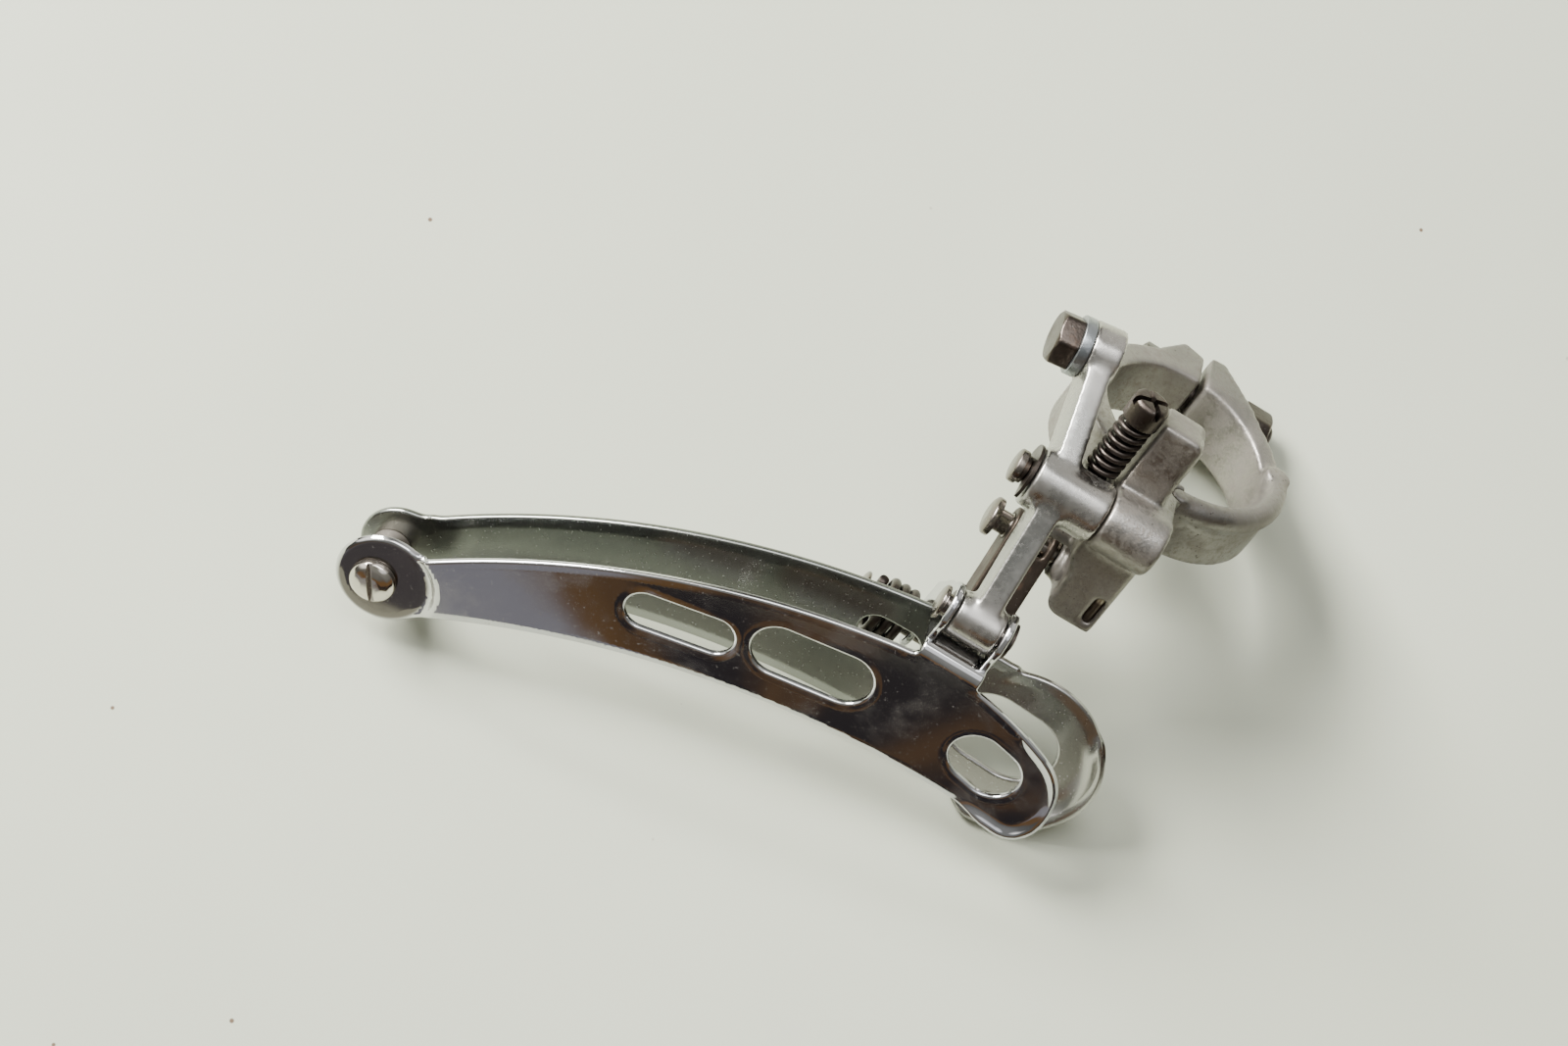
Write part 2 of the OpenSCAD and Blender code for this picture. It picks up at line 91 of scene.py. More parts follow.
EAR_REAR, EAR_FRONT = (-22.0, -20.8), (-12.9, -11.7)
INNER_SHOULDER = -24.3
# Clamp bolt (y, z), width of every hex across its flats, the two limit screws (x, y).
BOLT = (19.8, -0.8)
FLATS = 7.6
LIMIT = (-12.4, -22.2)
SEAT_Z, HEAD_Z = 4.6, 15.6
INNER_LIMIT = (-1.0, -25.8)
# Return spring: radius of the coil, of its wire, and where its leg starts along X.
COIL_R, WIRE_R, LEG_X = 4.33, 0.8, -16.1
# Cable eye (y, z) and its thickness, centre line of the lever's arm and its lean in degrees.
EYE = (-10.5, 14.8)
ARM_X, ARM_LEAN = -17.4, 8.0
EYE_T = 5.0


# ---------------------------------------------------------------- 2D shapes as signed distances
def circle(x, z, c, r):
    return np.hypot(x - c[0], z - c[1]) - r


def slot_sdf(x, z, p, q, r):
    dx, dz = q[0] - p[0], q[1] - p[1]
    t = np.clip(((x - p[0]) * dx + (z - p[1]) * dz) / (dx * dx + dz * dz), 0, 1)
    return np.hypot(x - p[0] - t * dx, z - p[1] - t * dz) - r


def box_sdf(x, z, x0, x1, z0, z1):
    ax = np.maximum(x0 - x, x - x1)
    az = np.maximum(z0 - z, z - z1)
    return np.maximum(ax, az)


def poly_sdf(x, z, pts):
    d = np.full(np.shape(x), 1e9)
    inside = np.zeros(np.shape(x), bool)
    n = len(pts)
    for i in range(n):
        a, b = pts[i], pts[(i + 1) % n]
        d = np.minimum(d, slot_sdf(x, z, a, b, 0.0))
        cross = (a[1] > z) != (b[1] > z)
        at = (b[0] - a[0]) * (z - a[1]) / ((b[1] - a[1]) or 1e-9) + a[0]
        inside ^= cross & (x < at)
    return np.where(inside, -d, d)


def join(a, b, k=0.0):
    if k <= 0:
        return np.minimum(a, b)
    h = np.clip(0.5 + 0.5 * (b - a) / k, 0, 1)
    return b * (1 - h) + a * h - k * h * (1 - h)


def smooth(e0, e1, v):
    t = np.clip((v - e0) / (e1 - e0), 0, 1)
    return t * t * (3 - 2 * t)


def trace(f, lo, hi, step):
    """Closed loops of f = 0, evenly spaced points."""
    xs = np.arange(lo[0], hi[0] + step, step)
    zs = np.arange(lo[1], hi[1] + step, step)
    gx, gz = np.meshgrid(xs, zs, indexing="ij")
    v = f(gx, gz)
    s = v < 0
    mixed = (s[:-1, :-1].astype(int) + s[1:, :-1] + s[:-1, 1:] + s[1:, 1:])
    link = {}
    where = {}

    def edge(i, j, vertical):
        key = (i, j, vertical)
        if key not in where:
            k, m = (i, j + 1) if vertical else (i + 1, j)
            t = v[i, j] / (v[i, j] - v[k, m])
            where[key] = (xs[i] + t * (xs[k] - xs[i]), zs[j] + t * (zs[m] - zs[j]))
        return key

    for i, j in zip(*np.where((mixed > 0) & (mixed < 4))):
        hit = []
        if s[i, j] != s[i + 1, j]:
            hit.append(edge(i, j, 0))
        if s[i + 1, j] != s[i + 1, j + 1]:
            hit.append(edge(i + 1, j, 1))
        if s[i, j + 1] != s[i + 1, j + 1]:
            hit.append(edge(i, j + 1, 0))
        if s[i, j] != s[i, j + 1]:
            hit.append(edge(i, j, 1))
        for a, b in zip(hit[::2], hit[1::2]):
            link.setdefault(a, []).append(b)
            link.setdefault(b, []).append(a)
    loops = []
    left = set(link)
    while left:
        start = left.pop()
        loop = [start]
        here = start
        while True:
            ahead = [n for n in link[here] if n in left]
            if not ahead:
                break
            here = ahead[0]
            left.discard(here)
            loop.append(here)
        pts = np.array([where[k] for k in loop])
        if len(pts) < 8:
            continue
        for _ in range(3):
            g = grad(f, pts)
            pts = pts - g * (f(pts[:, 0], pts[:, 1]) / np.maximum((g ** 2).sum(1), 1e-9))[:, None]
        closed = np.vstack([pts, pts[:1]])
        run = np.concatenate([[0], np.cumsum(np.hypot(*np.diff(closed, axis=0).T))])
        n = max(12, int(run[-1] / (step * 1.6)))
        at = np.linspace(0, run[-1], n, endpoint=False)
        even = np.column_stack([np.interp(at, run, closed[:, 0]), np.interp(at, run, closed[:, 1])])
        loops.append(even)
    return loops


def grad(f, p, h=0.01):
    return np.column_stack([
        (f(p[:, 0] + h, p[:, 1]) - f(p[:, 0] - h, p[:, 1])) / (2 * h),
        (f(p[:, 0], p[:, 1] + h) - f(p[:, 0], p[:, 1] - h)) / (2 * h)])


def nearest(p, loops):
    """Distance to the loops, and the direction from the nearest loop point."""
    best = np.full(len(p), 1e9)
    away = np.zeros((len(p), 2))
    for loop in loops:
        a, b = loop, np.roll(loop, -1, axis=0)
        d = b - a
        dd = (d ** 2).sum(1)
        for k in range(0, len(p), 1500):
            q = p[k:k + 1500, None, :]
            t = np.clip(((q - a) * d).sum(2) / dd, 0, 1)
            w = q - (a + t[..., None] * d)
            dist = np.hypot(w[..., 0], w[..., 1])
            i = dist.argmin(1)
            r = np.arange(len(i))
            closer = dist[r, i] < best[k:k + 1500]
            idx = np.where(closer)[0]
            best[k + idx] = dist[idx, i[idx]]
            away[k + idx] = w[idx, i[idx]]
    return best, away


def sheet_piece(name, f, lo, hi, mapper, thick, edge_r=0.45, step=0.3, fine=0.45, coarse=0.85, near=3.0):
    """A pressed sheet: outline f < 0, mapper(u, v) -> outer face in mm, rounded rims, clean normals."""
    loops = trace(f, lo, hi, step)
    rings = [np.vstack(loops)]
    inward = -grad(f, rings[0])
    inward /= np.maximum(np.hypot(*inward.T), 1e-9)[:, None]
    for d in (0.06, 0.16, 0.3, edge_r, edge_r + 0.25):
        ring = rings[0] + inward * d
        far, _ = nearest(ring, loops)
        rings.append(ring[far > d * 0.93])

    def lattice(s):
        xs = np.arange(lo[0], hi[0], s)
        zs = np.arange(lo[1], hi[1], s * 0.866)
        gx, gz = np.meshgrid(xs, zs, indexing="ij")
        gx = gx + (np.arange(len(zs)) % 2) * s / 2
        p = np.column_stack([gx.ravel(), gz.ravel()])
        v = f(p[:, 0], p[:, 1])
        return p[v < 0]

    a = lattice(fine)
    d, _ = nearest(a, loops)
    a = a[(d > edge_r + 0.25 + fine * 0.5) & (d < near)]
    b = lattice(coarse)
    d, _ = nearest(b, loops)
    b = b[d >= near + 0.2]
    pts = np.vstack(rings + [a, b])
    edges = []
    k = 0
    for loop in loops:
        n = len(loop)
        edges += [(k + i, k + (i + 1) % n) for i in range(n)]
        k += n
    verts, _, faces, orig, _, _ = delaunay_2d_cdt([Vector(p) for p in pts], edges, [], 0, 1e-6)
    pts = np.array([tuple(v) for v in verts])
    tri = np.array([tuple(t) for t in faces])
    c = pts[tri].mean(1)
    tri = tri[f(c[:, 0], c[:, 1]) < 0]
    dist, away = nearest(pts, loops)
    rim = set()
    for i, o in enumerate(orig):
        if any(q < k for q in o):
            rim.add(i)
    on_rim = np.zeros(len(pts), bool)
    on_rim[list(rim)] = True
    dist = np.where(on_rim, 0.0, dist)
    inside = -grad(f, pts)
    inside /= np.maximum(np.hypot(*inside.T), 1e-9)[:, None]
    length = np.hypot(*away.T)
    toward = np.where((length > 1e-4)[:, None], away / np.maximum(length, 1e-9)[:, None], inside)
    toward = np.where(on_rim[:, None], inside, toward)
    h = 0.03
    u, v = pts.T
    p = mapper(u, v)
    du = (mapper(u + h, v) - mapper(u - h, v)) / (2 * h)
    dv = (mapper(u, v + h) - mapper(u, v - h)) / (2 * h)
    n = np.cross(du, dv)
    n /= np.linalg.norm(n, axis=1)[:, None]
    g = du * toward[:, :1] + dv * toward[:, 1:]
    g /= np.linalg.norm(g, axis=1)[:, None]
    m = np.clip(edge_r - dist, 0, edge_r)
    drop = edge_r - np.sqrt(np.maximum(edge_r ** 2 - m ** 2, 0))
    sin = m / edge_r
    cos = np.sqrt(1 - sin ** 2)
    front = p - n * drop[:, None]
    back = p - n * (thick - drop)[:, None]
    n_front = n * cos[:, None] - g * sin[:, None]
    n_back = -n * cos[:, None] - g * sin[:, None]
    count = len(pts)
    area = np.cross(pts[tri[:, 1]] - pts[tri[:, 0]], pts[tri[:, 2]] - pts[tri[:, 0]])
    tri = np.where((area > 0)[:, None], tri, tri[:, ::-1])
    faces = [tuple(t) for t in tri] + [tuple(t[::-1] + count) for t in tri]
    used = {}
    for t in tri:
        for i in range(3):
            used[(t[i], t[(i + 1) % 3])] = True
    for (i, j) in used:
        if (j, i) not in used:
            faces.append((j, i, i + count, j + count))
    return mesh_piece(name, np.vstack([front, back]), faces, np.vstack([n_front, n_back]))


def mesh_piece(name, verts_mm, faces, normals=None):
    mesh = bpy.data.meshes.new(name)
    points = [tuple(v) for v in np.array(verts_mm, float) * MM]
    mesh.from_pydata(points, [], [tuple(int(i) for i in t) for t in faces])
    mesh.validate()
    for poly in mesh.polygons:
        poly.use_smooth = True
    if normals is not None and len(mesh.vertices) == len(normals):
        mesh.normals_split_custom_set_from_vertices([tuple(v) for v in normals])
    o = bpy.data.objects.new(name, mesh)
    bpy.context.scene.collection.objects.link(o)
    return o


# ---------------------------------------------------------------- the two cage plates
BEND_Z = BRIDGE_TOP - BEND_R
FLAT_END = BEND_Z + BEND_R * math.pi / 2 + (INNER_Y + SHEET) - (OUTER_Y + BEND_R)
OUTER_SLOTS = [((-58, -42.2), (-47.6, -39.7), 3.1), ((-38.4, -36.1), (-28.2, -34.3), 4.3),
               ((-5.1, -34.7), (-2.1, -35.4), 4.3)]
INNER_SLOTS = [((-4, -36.4), (0.9, -36.7), 6.4), ((-26.6, -31.6), (-22.5, -31.4), 2.9)]


def outer_blank(x, z):
    low = -circle(x, z, LOW_C, LOW_R)
    top = circle(x, z, TOP_C, TOP_R)
    brow = np.where(x > BROW_C[0], circle(x, z, BROW_C, BROW_R), top)
    axis = np.subtract(NOSE_C, BROW_C) / np.hypot(*np.subtract(NOSE_C, BROW_C))
    past = (x - NOSE_C[0]) * axis[1] - (z - NOSE_C[1]) * axis[0]
    tip = np.where(past > 0, circle(x, z, NOSE_C, NOSE_R), -99.0)
    body = np.maximum.reduce([top, brow, tip, low, -89 - x])
    turn = np.arctan2(z - TOE_C[1], x - TOE_C[0])
    ahead = math.atan2(TOE_C[1] - NOSE_C[1], TOE_C[0] - NOSE_C[0])
    below = math.atan2(LOW_C[1] - TOE_C[1], LOW_C[0] - TOE_C[0])
    body = np.where((turn > below) & (turn < ahead), circle(x, z, TOE_C, TOE_R), body)
    body = join(body, circle(x, z, DISC_C, DISC_R), 2.0)
    tab = box_sdf(x, z, EAR_REAR[0], EAR_FRONT[1], -32, FLAT_END)
    return join(body, tab, 0.9)


def outer_f(x, z):
    f = outer_blank(x, z)
    for p, q, r in OUTER_SLOTS:
        f = np.maximum(f, -slot_sdf(x, z, p, q, r))
    return f


def outer_map(u, v):
    dist = np.hypot(u - DISC_C[0], v - DISC_C[1])
    h = JOGGLE * (1 - smooth(DISC_R - 0.2, DISC_R + 1.7, dist))
    for p, q, r in OUTER_SLOTS:
        h = h + 0.05 * (1 - smooth(0.0, 1.5, slot_sdf(u, v, p, q, r)))
    rim = -outer_blank(u, v)
    ahead = smooth(-4.5, 1.5, u)
    fade = 1 - smooth(-26.5, -24, v) * smooth(-25, -23, u) * (1 - smooth(-11, -9, u))
    h = h + 0.06 * (1 - smooth(0.0, 1.4, rim)) * fade * (1 - ahead)
    flare = np.clip(LIP_WIDTH - np.maximum(rim, 0), 0, LIP_WIDTH) / LIP_WIDTH
    h = h - LIP * flare ** 2 * ahead * (1 - 0.6 * smooth(-41.5, -35, v))
    rise = np.maximum(v - BEND_Z, 0)
    angle = np.minimum(rise / BEND_R, math.pi / 2)
    y = OUTER_Y + h * (1 - smooth(-24, -21, v)) + BEND_R * (1 - np.cos(angle))
    y = y + np.maximum(rise - BEND_R * math.pi / 2, 0)
    z = np.minimum(v, BEND_Z) + BEND_R * np.sin(angle)
    return np.column_stack([u, y, z])


def inner_blank(x, z):
    top = circle(x, z, (TOP_C[0], TOP_C[1] + 1.1), TOP_R)
    low = -circle(x, z, IN_LOW_C, IN_LOW_R)
    body = np.maximum(np.maximum(top, low), np.maximum(-91 - x, x + 6))
    body = join(body, circle(x, z, DISC_C, 6.6), 3.0)
    body = np.maximum(body, np.minimum(z - (BRIDGE_TOP - SHEET), x + 24))
    body = np.maximum(body, np.minimum(z - INNER_SHOULDER, x - EAR_FRONT[1]))
    return join(body, circle(x, z, IN_NOSE_C, IN_NOSE_R), 1.5)


def inner_f(x, z):
    f = inner_blank(x, z)
    for p, q, r in INNER_SLOTS:
        f = np.maximum(f, -slot_sdf(x, z, p, q, r))
    return f


def inner_map(u, v):
    d = np.clip(IN_NOSE_R - np.hypot(u - IN_NOSE_C[0], v - IN_NOSE_C[1]), 0, CURL_R)
    angle = np.arctan2(v - IN_NOSE_C[1], u - IN_NOSE_C[0])
    lip = CURL_R - np.sqrt(CURL_R ** 2 - (CURL_R - d) ** 2)
    around = smooth(math.radians(-112), math.radians(-88), angle)
    around = around * (1 - smooth(math.radians(25), math.radians(48), angle))
    h = -np.minimum(lip, CURL) * around
    rim = -inner_blank(u, v)
    h = h + 0.25 * (1 - smooth(0.0, 2.0, rim)) * (1 - around)
    return np.column_stack([u, INNER_Y + h, v])


outer_plate = sheet_piece("outer_cage_plate", outer_f, (-101.5, -72), (9.5, -9.5), outer_map, SHEET)
inner_plate = sheet_piece("inner_cage_plate", inner_f, (-101, -72), (15, -20), inner_map, SHEET)


def ear_f(y, z):
    pts = [(Q1[0] - 3.8, BRIDGE_TOP - SHEET), (Q1[0] - 3.8, Q1[1]), (Q1[0] + 1, Q1[1] + 3.6),
           (INNER_Y + 2.6, Q1[1] - 0.6), (Q2[0] + 2.4, BRIDGE_TOP - 2.5), (Q2[0] + 3.2, Q2[1]),
           (Q2[0] - 3.2, Q2[1]), (INNER_Y + SHEET, BRIDGE_TOP - 5), (INNER_Y + SHEET, BRIDGE_TOP - SHEET)]
    f = poly_sdf(y, z, pts)
    f = join(f, circle(y, z, Q1, 3.8), 1.2)
    return join(f, circle(y, z, Q2, 3.2), 1.2)


def ear_piece(name, x):
    """One upright ear, its front face at x."""
    def flat(u, v):
        return np.column_stack([np.full(len(u), x), u, v])
    return sheet_piece(name, ear_f, (-44.5, -36.5), (-23.5, -12.5), flat, SHEET, step=0.25)


rear_ear = ear_piece("cage_rear_ear", EAR_REAR[1])
front_ear = ear_piece("cage_front_ear", EAR_FRONT[1])


# ---------------------------------------------------------------- castings
def cast(node, name, voxel, round_steps, fillet_steps):
    """The CAD solid with worn edges and filled corners, as a casting has them."""
    src = nodes[node]
    mesh = src.data.copy()
    mesh.name = name
    o = bpy.data.objects.new(name, mesh)
    bpy.context.scene.collection.objects.link(o)
    mod = o.modifiers.new("even", "REMESH")
    mod.mode = "VOXEL"
    mod.voxel_size = voxel * MM
    mod.adaptivity = 0
    deps = bpy.context.evaluated_depsgraph_get()
    made = bpy.data.meshes.new_from_object(o.evaluated_get(deps))
    o.modifiers.clear()
    o.data = made
    made.name = name
    n = len(made.vertices)
    co = np.zeros(n * 3)
    made.vertices.foreach_get("co", co)
    co = co.reshape(-1, 3)
    low, high = co.min(0), co.max(0)
    ed = np.zeros(len(made.edges) * 2, int)
    made.edges.foreach_get("vertices", ed)
    ed = ed.reshape(-1, 2)
    deg = np.bincount(ed.ravel(), minlength=n)[:, None]

    def average(values):
        out = np.zeros_like(values)
        for k in range(3):
            out[:, k] = (np.bincount(ed[:, 0], values[ed[:, 1], k], n)
                         + np.bincount(ed[:, 1], values[ed[:, 0], k], n))
        return out / deg

    nor = np.zeros(n * 3)
    for step in range(max(round_steps, fillet_steps)):
        move = average(co) - co
        if step % 4 == 0:
            made.vertices.foreach_set("co", co.ravel())
            made.update()
            made.vertices.foreach_get("normal", nor)
            out = average(average(nor.reshape(-1, 3)))
            out /= np.linalg.norm(out, axis=1)[:, None]
        along = (move * out).sum(1)
        if step < round_steps:
            co = co + move * 0.6
        else:
            co = co + move * 0.6 * (along > 0.0004 * MM)[:, None]
    co = np.clip(co, low, high)
    made.vertices.foreach_set("co", co.ravel())
    made.update()
    for poly in made.polygons:
        poly.use_smooth = True
    return o


rear_half = cast("clamp_body", "clamp_and_body_casting", 0.32, 12, 30)
front_half = cast("clamp_front_half", "clamp_front_casting", 0.32, 8, 22)
lever = cast("lever", "lever_casting", 0.26, 14, 60)
link = cast("inner_link", "inner_link_pressing", 0.24, 4, 8)


# ---------------------------------------------------------------- small hardware
def turned(profile, segments=64):
    """Solid of revolution along X from (x, r) points."""
    verts, faces = [], []
    rows = []
    for x, r in profile:
        if r < 1e-6:
            rows.append([len(verts)])
            verts.append((x, 0, 0))
        else:
            rows.append(list(range(len(verts), len(verts) + segments)))
            for i in range(segments):
                a = 2 * math.pi * i / segments
                verts.append((x, r * math.cos(a), r * math.sin(a)))
    for a, b in zip(rows, rows[1:]):
        for i in range(segments):
            j = (i + 1) % segments
            if len(a) == 1 and len(b) == 1:
                continue
            if len(a) == 1:
                faces.append((a[0], b[i], b[j]))
            elif len(b) == 1:
                faces.append((a[i], b[0], a[j]))
            else:
                faces.append((a[i], b[i], b[j], a[j]))
    return verts, faces


def soft(profile, r=0.2, steps=3):
    """Rounds the corners of a profile."""
    pts = [Vector((x, y)) for x, y in profile]
    out = [pts[0]]
    for a, b, c in zip(pts, pts[1:], pts[2:]):
        k = min(r, (a - b).length * 0.45, (c - b).length * 0.45)
        p = b + (a - b).normalized() * k
        q = b + (c - b).normalized() * k
        for i in range(steps + 1):
            t = i / steps
            out.append(p * (1 - t) ** 2 + b * 2 * t * (1 - t) + q * t * t)
    out.append(pts[-1])
    return [tuple(p) for p in out]


def place(verts, at, to=None):
    """Turns points drawn along X by to, then moves them to at."""
    m = to or Matrix.Identity(3)
    return [tuple(m @ Vector(v) + Vector(at)) for v in verts]


def merge(parts):
    verts, faces = [], []
    for v, f in parts:
        k = len(verts)
        verts += list(v)
        faces += [tuple(i + k for i in t) for t in f]
    return verts, faces


def sharp(o, degrees=38):
    """Turns every face outwards and keeps creases steeper than this crisp."""
    bm = bmesh.new()
    bm.from_mesh(o.data)
    bmesh.ops.remove_doubles(bm, verts=bm.verts, dist=1e-7)
    bmesh.ops.recalc_face_normals(bm, faces=bm.faces)
    for e in bm.edges:
        if len(e.link_faces) == 2 and e.calc_face_angle(0) > math.radians(degrees):
            e.smooth = False
    bm.to_mesh(o.data)
    bm.free()
    return o


def hexagon(x0, x1, flats, turn=0.0, chamfer_at=1):
    """Hex head along X, its far end (chamfer_at 1) or near end (-1) with the usual conical chamfer."""
    n = 96
    half = flats / 2
    verts, faces = [], []
    levels = []
    tip, root = (x1, x0) if chamfer_at > 0 else (x0, x1)
    sign = 1 if tip > root else -1
    flat_r = half * 0.93

    def ring(radius_of, x_of):
        ids = []
        for i in range(n):
            a = 2 * math.pi * i / n
            fold = (a + math.pi / 6) % (math.pi / 3) - math.pi / 6
            edge = half / math.cos(fold)
            edge = edge - 0.12 * max(0, abs(fold) - 0.44) / 0.08
            r = radius_of(edge)
            ids.append(len(verts))
            verts.append((x_of(r), r * math.cos(a + turn), r * math.sin(a + turn)))
        levels.append(ids)

    def top(r):
        return tip - sign * max(0, r - flat_r) * 0.62

    ring(lambda e: 0.5, lambda r: tip)
    ring(lambda e: flat_r - 0.15, lambda r: tip)
    ring(lambda e: flat_r + 0.1, lambda r: tip - sign * 0.03)
    ring(lambda e: e - 0.08, lambda r: top(r))
    ring(lambda e: e, lambda r: top(r) - sign * 0.1)
    ring(lambda e: e, lambda r: root + sign * 0.12)
    ring(lambda e: e - 0.12, lambda r: root)
    ring(lambda e: 0.5, lambda r: root)
    for a, b in zip(levels, levels[1:]):
        for i in range(n):
            j = (i + 1) % n
            faces.append((a[i], b[i], b[j], a[j]))
    faces.append(tuple(levels[0]))
    faces.append(tuple(reversed(levels[-1])))
    return verts, faces


def tube(points, r, around=14):
    """Round wire along points, rounded ends."""
    p = [Vector(q) for q in points]
    n = len(p)
    verts, faces = [], []
    t = [(p[min(i + 1, n - 1)] - p[max(i - 1, 0)]).normalized() for i in range(n)]
    side = t[0].orthogonal().normalized()
    rows = []
    for i in range(n):
        side = (side - t[i] * side.dot(t[i])).normalized()
        up = t[i].cross(side)
        row = []
        for k in range(around):
            a = 2 * math.pi * k / around
            row.append(len(verts))
            verts.append(tuple(p[i] + (side * math.cos(a) + up * math.sin(a)) * r))
        rows.append(row)
    for a, b in zip(rows, rows[1:]):
        for k in range(around):
            j = (k + 1) % around
            faces.append((a[k], a[j], b[j], b[k]))
    for row, end, d in ((rows[0], p[0], -t[0]), (rows[-1], p[-1], t[-1])):
        verts.append(tuple(end + d * r * 0.5))
        tip = len(verts) - 1
        for k in range(around):
            faces.append((row[k], row[(k + 1) % around], tip))
    return verts, faces


def helix(r, length, turns, per=36, phase=0.0):
    """Points of a coil along X."""
    n = int(turns * per)
    out = []
    for i in range(n + 1):
        s = i / n
        a = phase + 2 * math.pi * turns * s
        out.append((length * s, r * math.cos(a), r * math.sin(a)))
    return out


def cut_with(o, cutter):
    """Subtracts one closed mesh from another."""
    mod = o.modifiers.new("cut", "BOOLEAN")
    mod.operation = "DIFFERENCE"
    mod.solver = "EXACT"
    mod.object = cutter
    deps = bpy.context.evaluated_depsgraph_get()
    made = bpy.data.meshes.new_from_object(o.evaluated_get(deps))
    o.modifiers.clear()
    o.data = made
    bpy.data.objects.remove(cutter)
    return o


def block(size, at, turn=None):
    sx, sy, sz = (s / 2 for s in size)
    v = [(x, y, z) for x in (-sx, sx) for y in (-sy, sy) for z in (-sz, sz)]
    f = [(0, 1, 3, 2), (4, 6, 7, 5), (0, 4, 5, 1), (2, 3, 7, 6), (0, 2, 6, 4), (1, 5, 7, 3)]
    o = mesh_piece("cutter", place(v, at, turn), f)
    for poly in o.data.polygons:
        poly.use_smooth = False
    return o


def headed(name, head_x, tip_x, r, head_r, head, at, neck=None, dome=0.35):
    """Pin along X with a domed head at its rear end."""
    back = head_x - head
    prof = [(back, 0), (back, head_r * 0.5), (back + dome * 0.35, head_r * 0.8), (back + dome, head_r),
            (head_x, head_r), (head_x, r)]
    if neck:
        prof += [(neck[0], r), (neck[0], neck[2]), (neck[1], neck[2]), (neck[1], r)]
    prof += [(tip_x - 0.4, r), (tip_x, r - 0.4), (tip_x, 0)]
    v, f = turned(soft(prof, 0.22))
    return sharp(mesh_piece(name, place(v, (0, at[0], at[1])), f))


def washer(x0, x1, r, hole):
    """Flat washer along X."""
    prof = [(x0, hole), (x0, r), (x1, r), (x1, hole), (x0, hole)]
    return turned(soft(prof, 0.16))


def ring_clip(name, x0, x1, r, groove, at, open_turn):
    """Snap ring: a flat ring with a mouth."""
    n = 60
    mouth = math.radians(46)
    verts, faces = [], []
    for i in range(n + 1):
        a = open_turn + mouth + (2 * math.pi - 2 * mouth) * i / n
        inner = groove + 0.03
        for x, rr in ((x0, inner), (x0, r), (x1, r), (x1, inner)):
            verts.append((x, at[0] + rr * math.cos(a), at[1] + rr * math.sin(a)))
    for i in range(n):
        for k in range(4):
            a, b = i * 4 + k, i * 4 + (k + 1) % 4
            faces.append((a, b, b + 4, a + 4))
    faces.append((0, 1, 2, 3))
    faces.append((n * 4 + 3, n * 4 + 2, n * 4 + 1, n * 4))
    return sharp(mesh_piece(name, verts, faces), 30)


upper_pin = headed("upper_pivot_stud", -22.8, 0.6, 2.2, 2.6, 1.5, P1, neck=(-22.1, -21.4, 1.7))
link_pin = headed("link_pivot_stud", -19.6, 0.6, 2.0, 3.1, 1.6, P2, neck=(-19.5, -17.5, 1.8), dome=0.6)
cage_pin = headed("cage_pivot_stud", -22.4, -10.6, 1.8, 2.7, 1.0, Q1, neck=(-11.5, -11.0, 1.4))
low_pin = headed("cage_link_stud", -30.8, -8.8, 1.8, 3.9, 0.8, Q2, neck=(-9.7, -9.2, 1.4))
upper_clip = ring_clip("upper_snap_ring", -22.0, -21.5, 4.4, 1.72, P1, math.radians(-100))
cage_clip = ring_clip("cage_snap_ring", -11.5, -11.05, 2.9, 1.42, Q1, math.radians(-90))
low_clip = ring_clip("link_snap_ring", -9.7, -9.25, 2.9, 1.42, Q2, math.radians(-90))

# clamp bolt, nut and washers
shank = turned(soft([(-5.2, 0), (-5.2, 2.5), (15.4, 2.5), (15.8, 2.1), (15.8, 0)], 0.15))
v, f = merge([shank, hexagon(-8.8, -5, FLATS, 0.2, -1)])
clamp_bolt = sharp(mesh_piece("pinch_bolt", place(v, (0, *BOLT)), f), 30)
v, f = hexagon(10, 14.8, FLATS, 0.45, 1)
clamp_nut = sharp(mesh_piece("pinch_nut", place(v, (0, *BOLT)), f), 30)
v, f = merge([washer(-5, -4, 4.1, 2.6), washer(8.6, 10, 4.1, 2.6)])
clamp_washers = sharp(mesh_piece("pinch_washers", place(v, (0, *BOLT)), f))

# cable bolt and washer, on the leaning eye
arm = Vector((0, EYE[0] - P1[0], EYE[1] - P1[1]))
lean = Matrix.Rotation(math.radians(ARM_LEAN), 3, Vector((0, -arm.z, arm.y)).normalized())
eye_at = lean @ arm + Vector((ARM_X, *P1))
half = EYE_T / 2
v, f = merge([turned(soft([(-half - 2, 0), (-half - 2, 2.0), (half + 0.2, 2.0), (half + 0.2, 0)], 0.15)),
              hexagon(-half - 5.1, -half - 1.7, FLATS, 0.1, -1)])
cable_bolt = sharp(mesh_piece("cable_hex_bolt", place(v, eye_at, lean), f), 30)
v, f = washer(-half - 1.7, -half, 4.6, 2.02)
cable_washer = sharp(mesh_piece("cable_plate_washer", place(v, eye_at, lean), f))

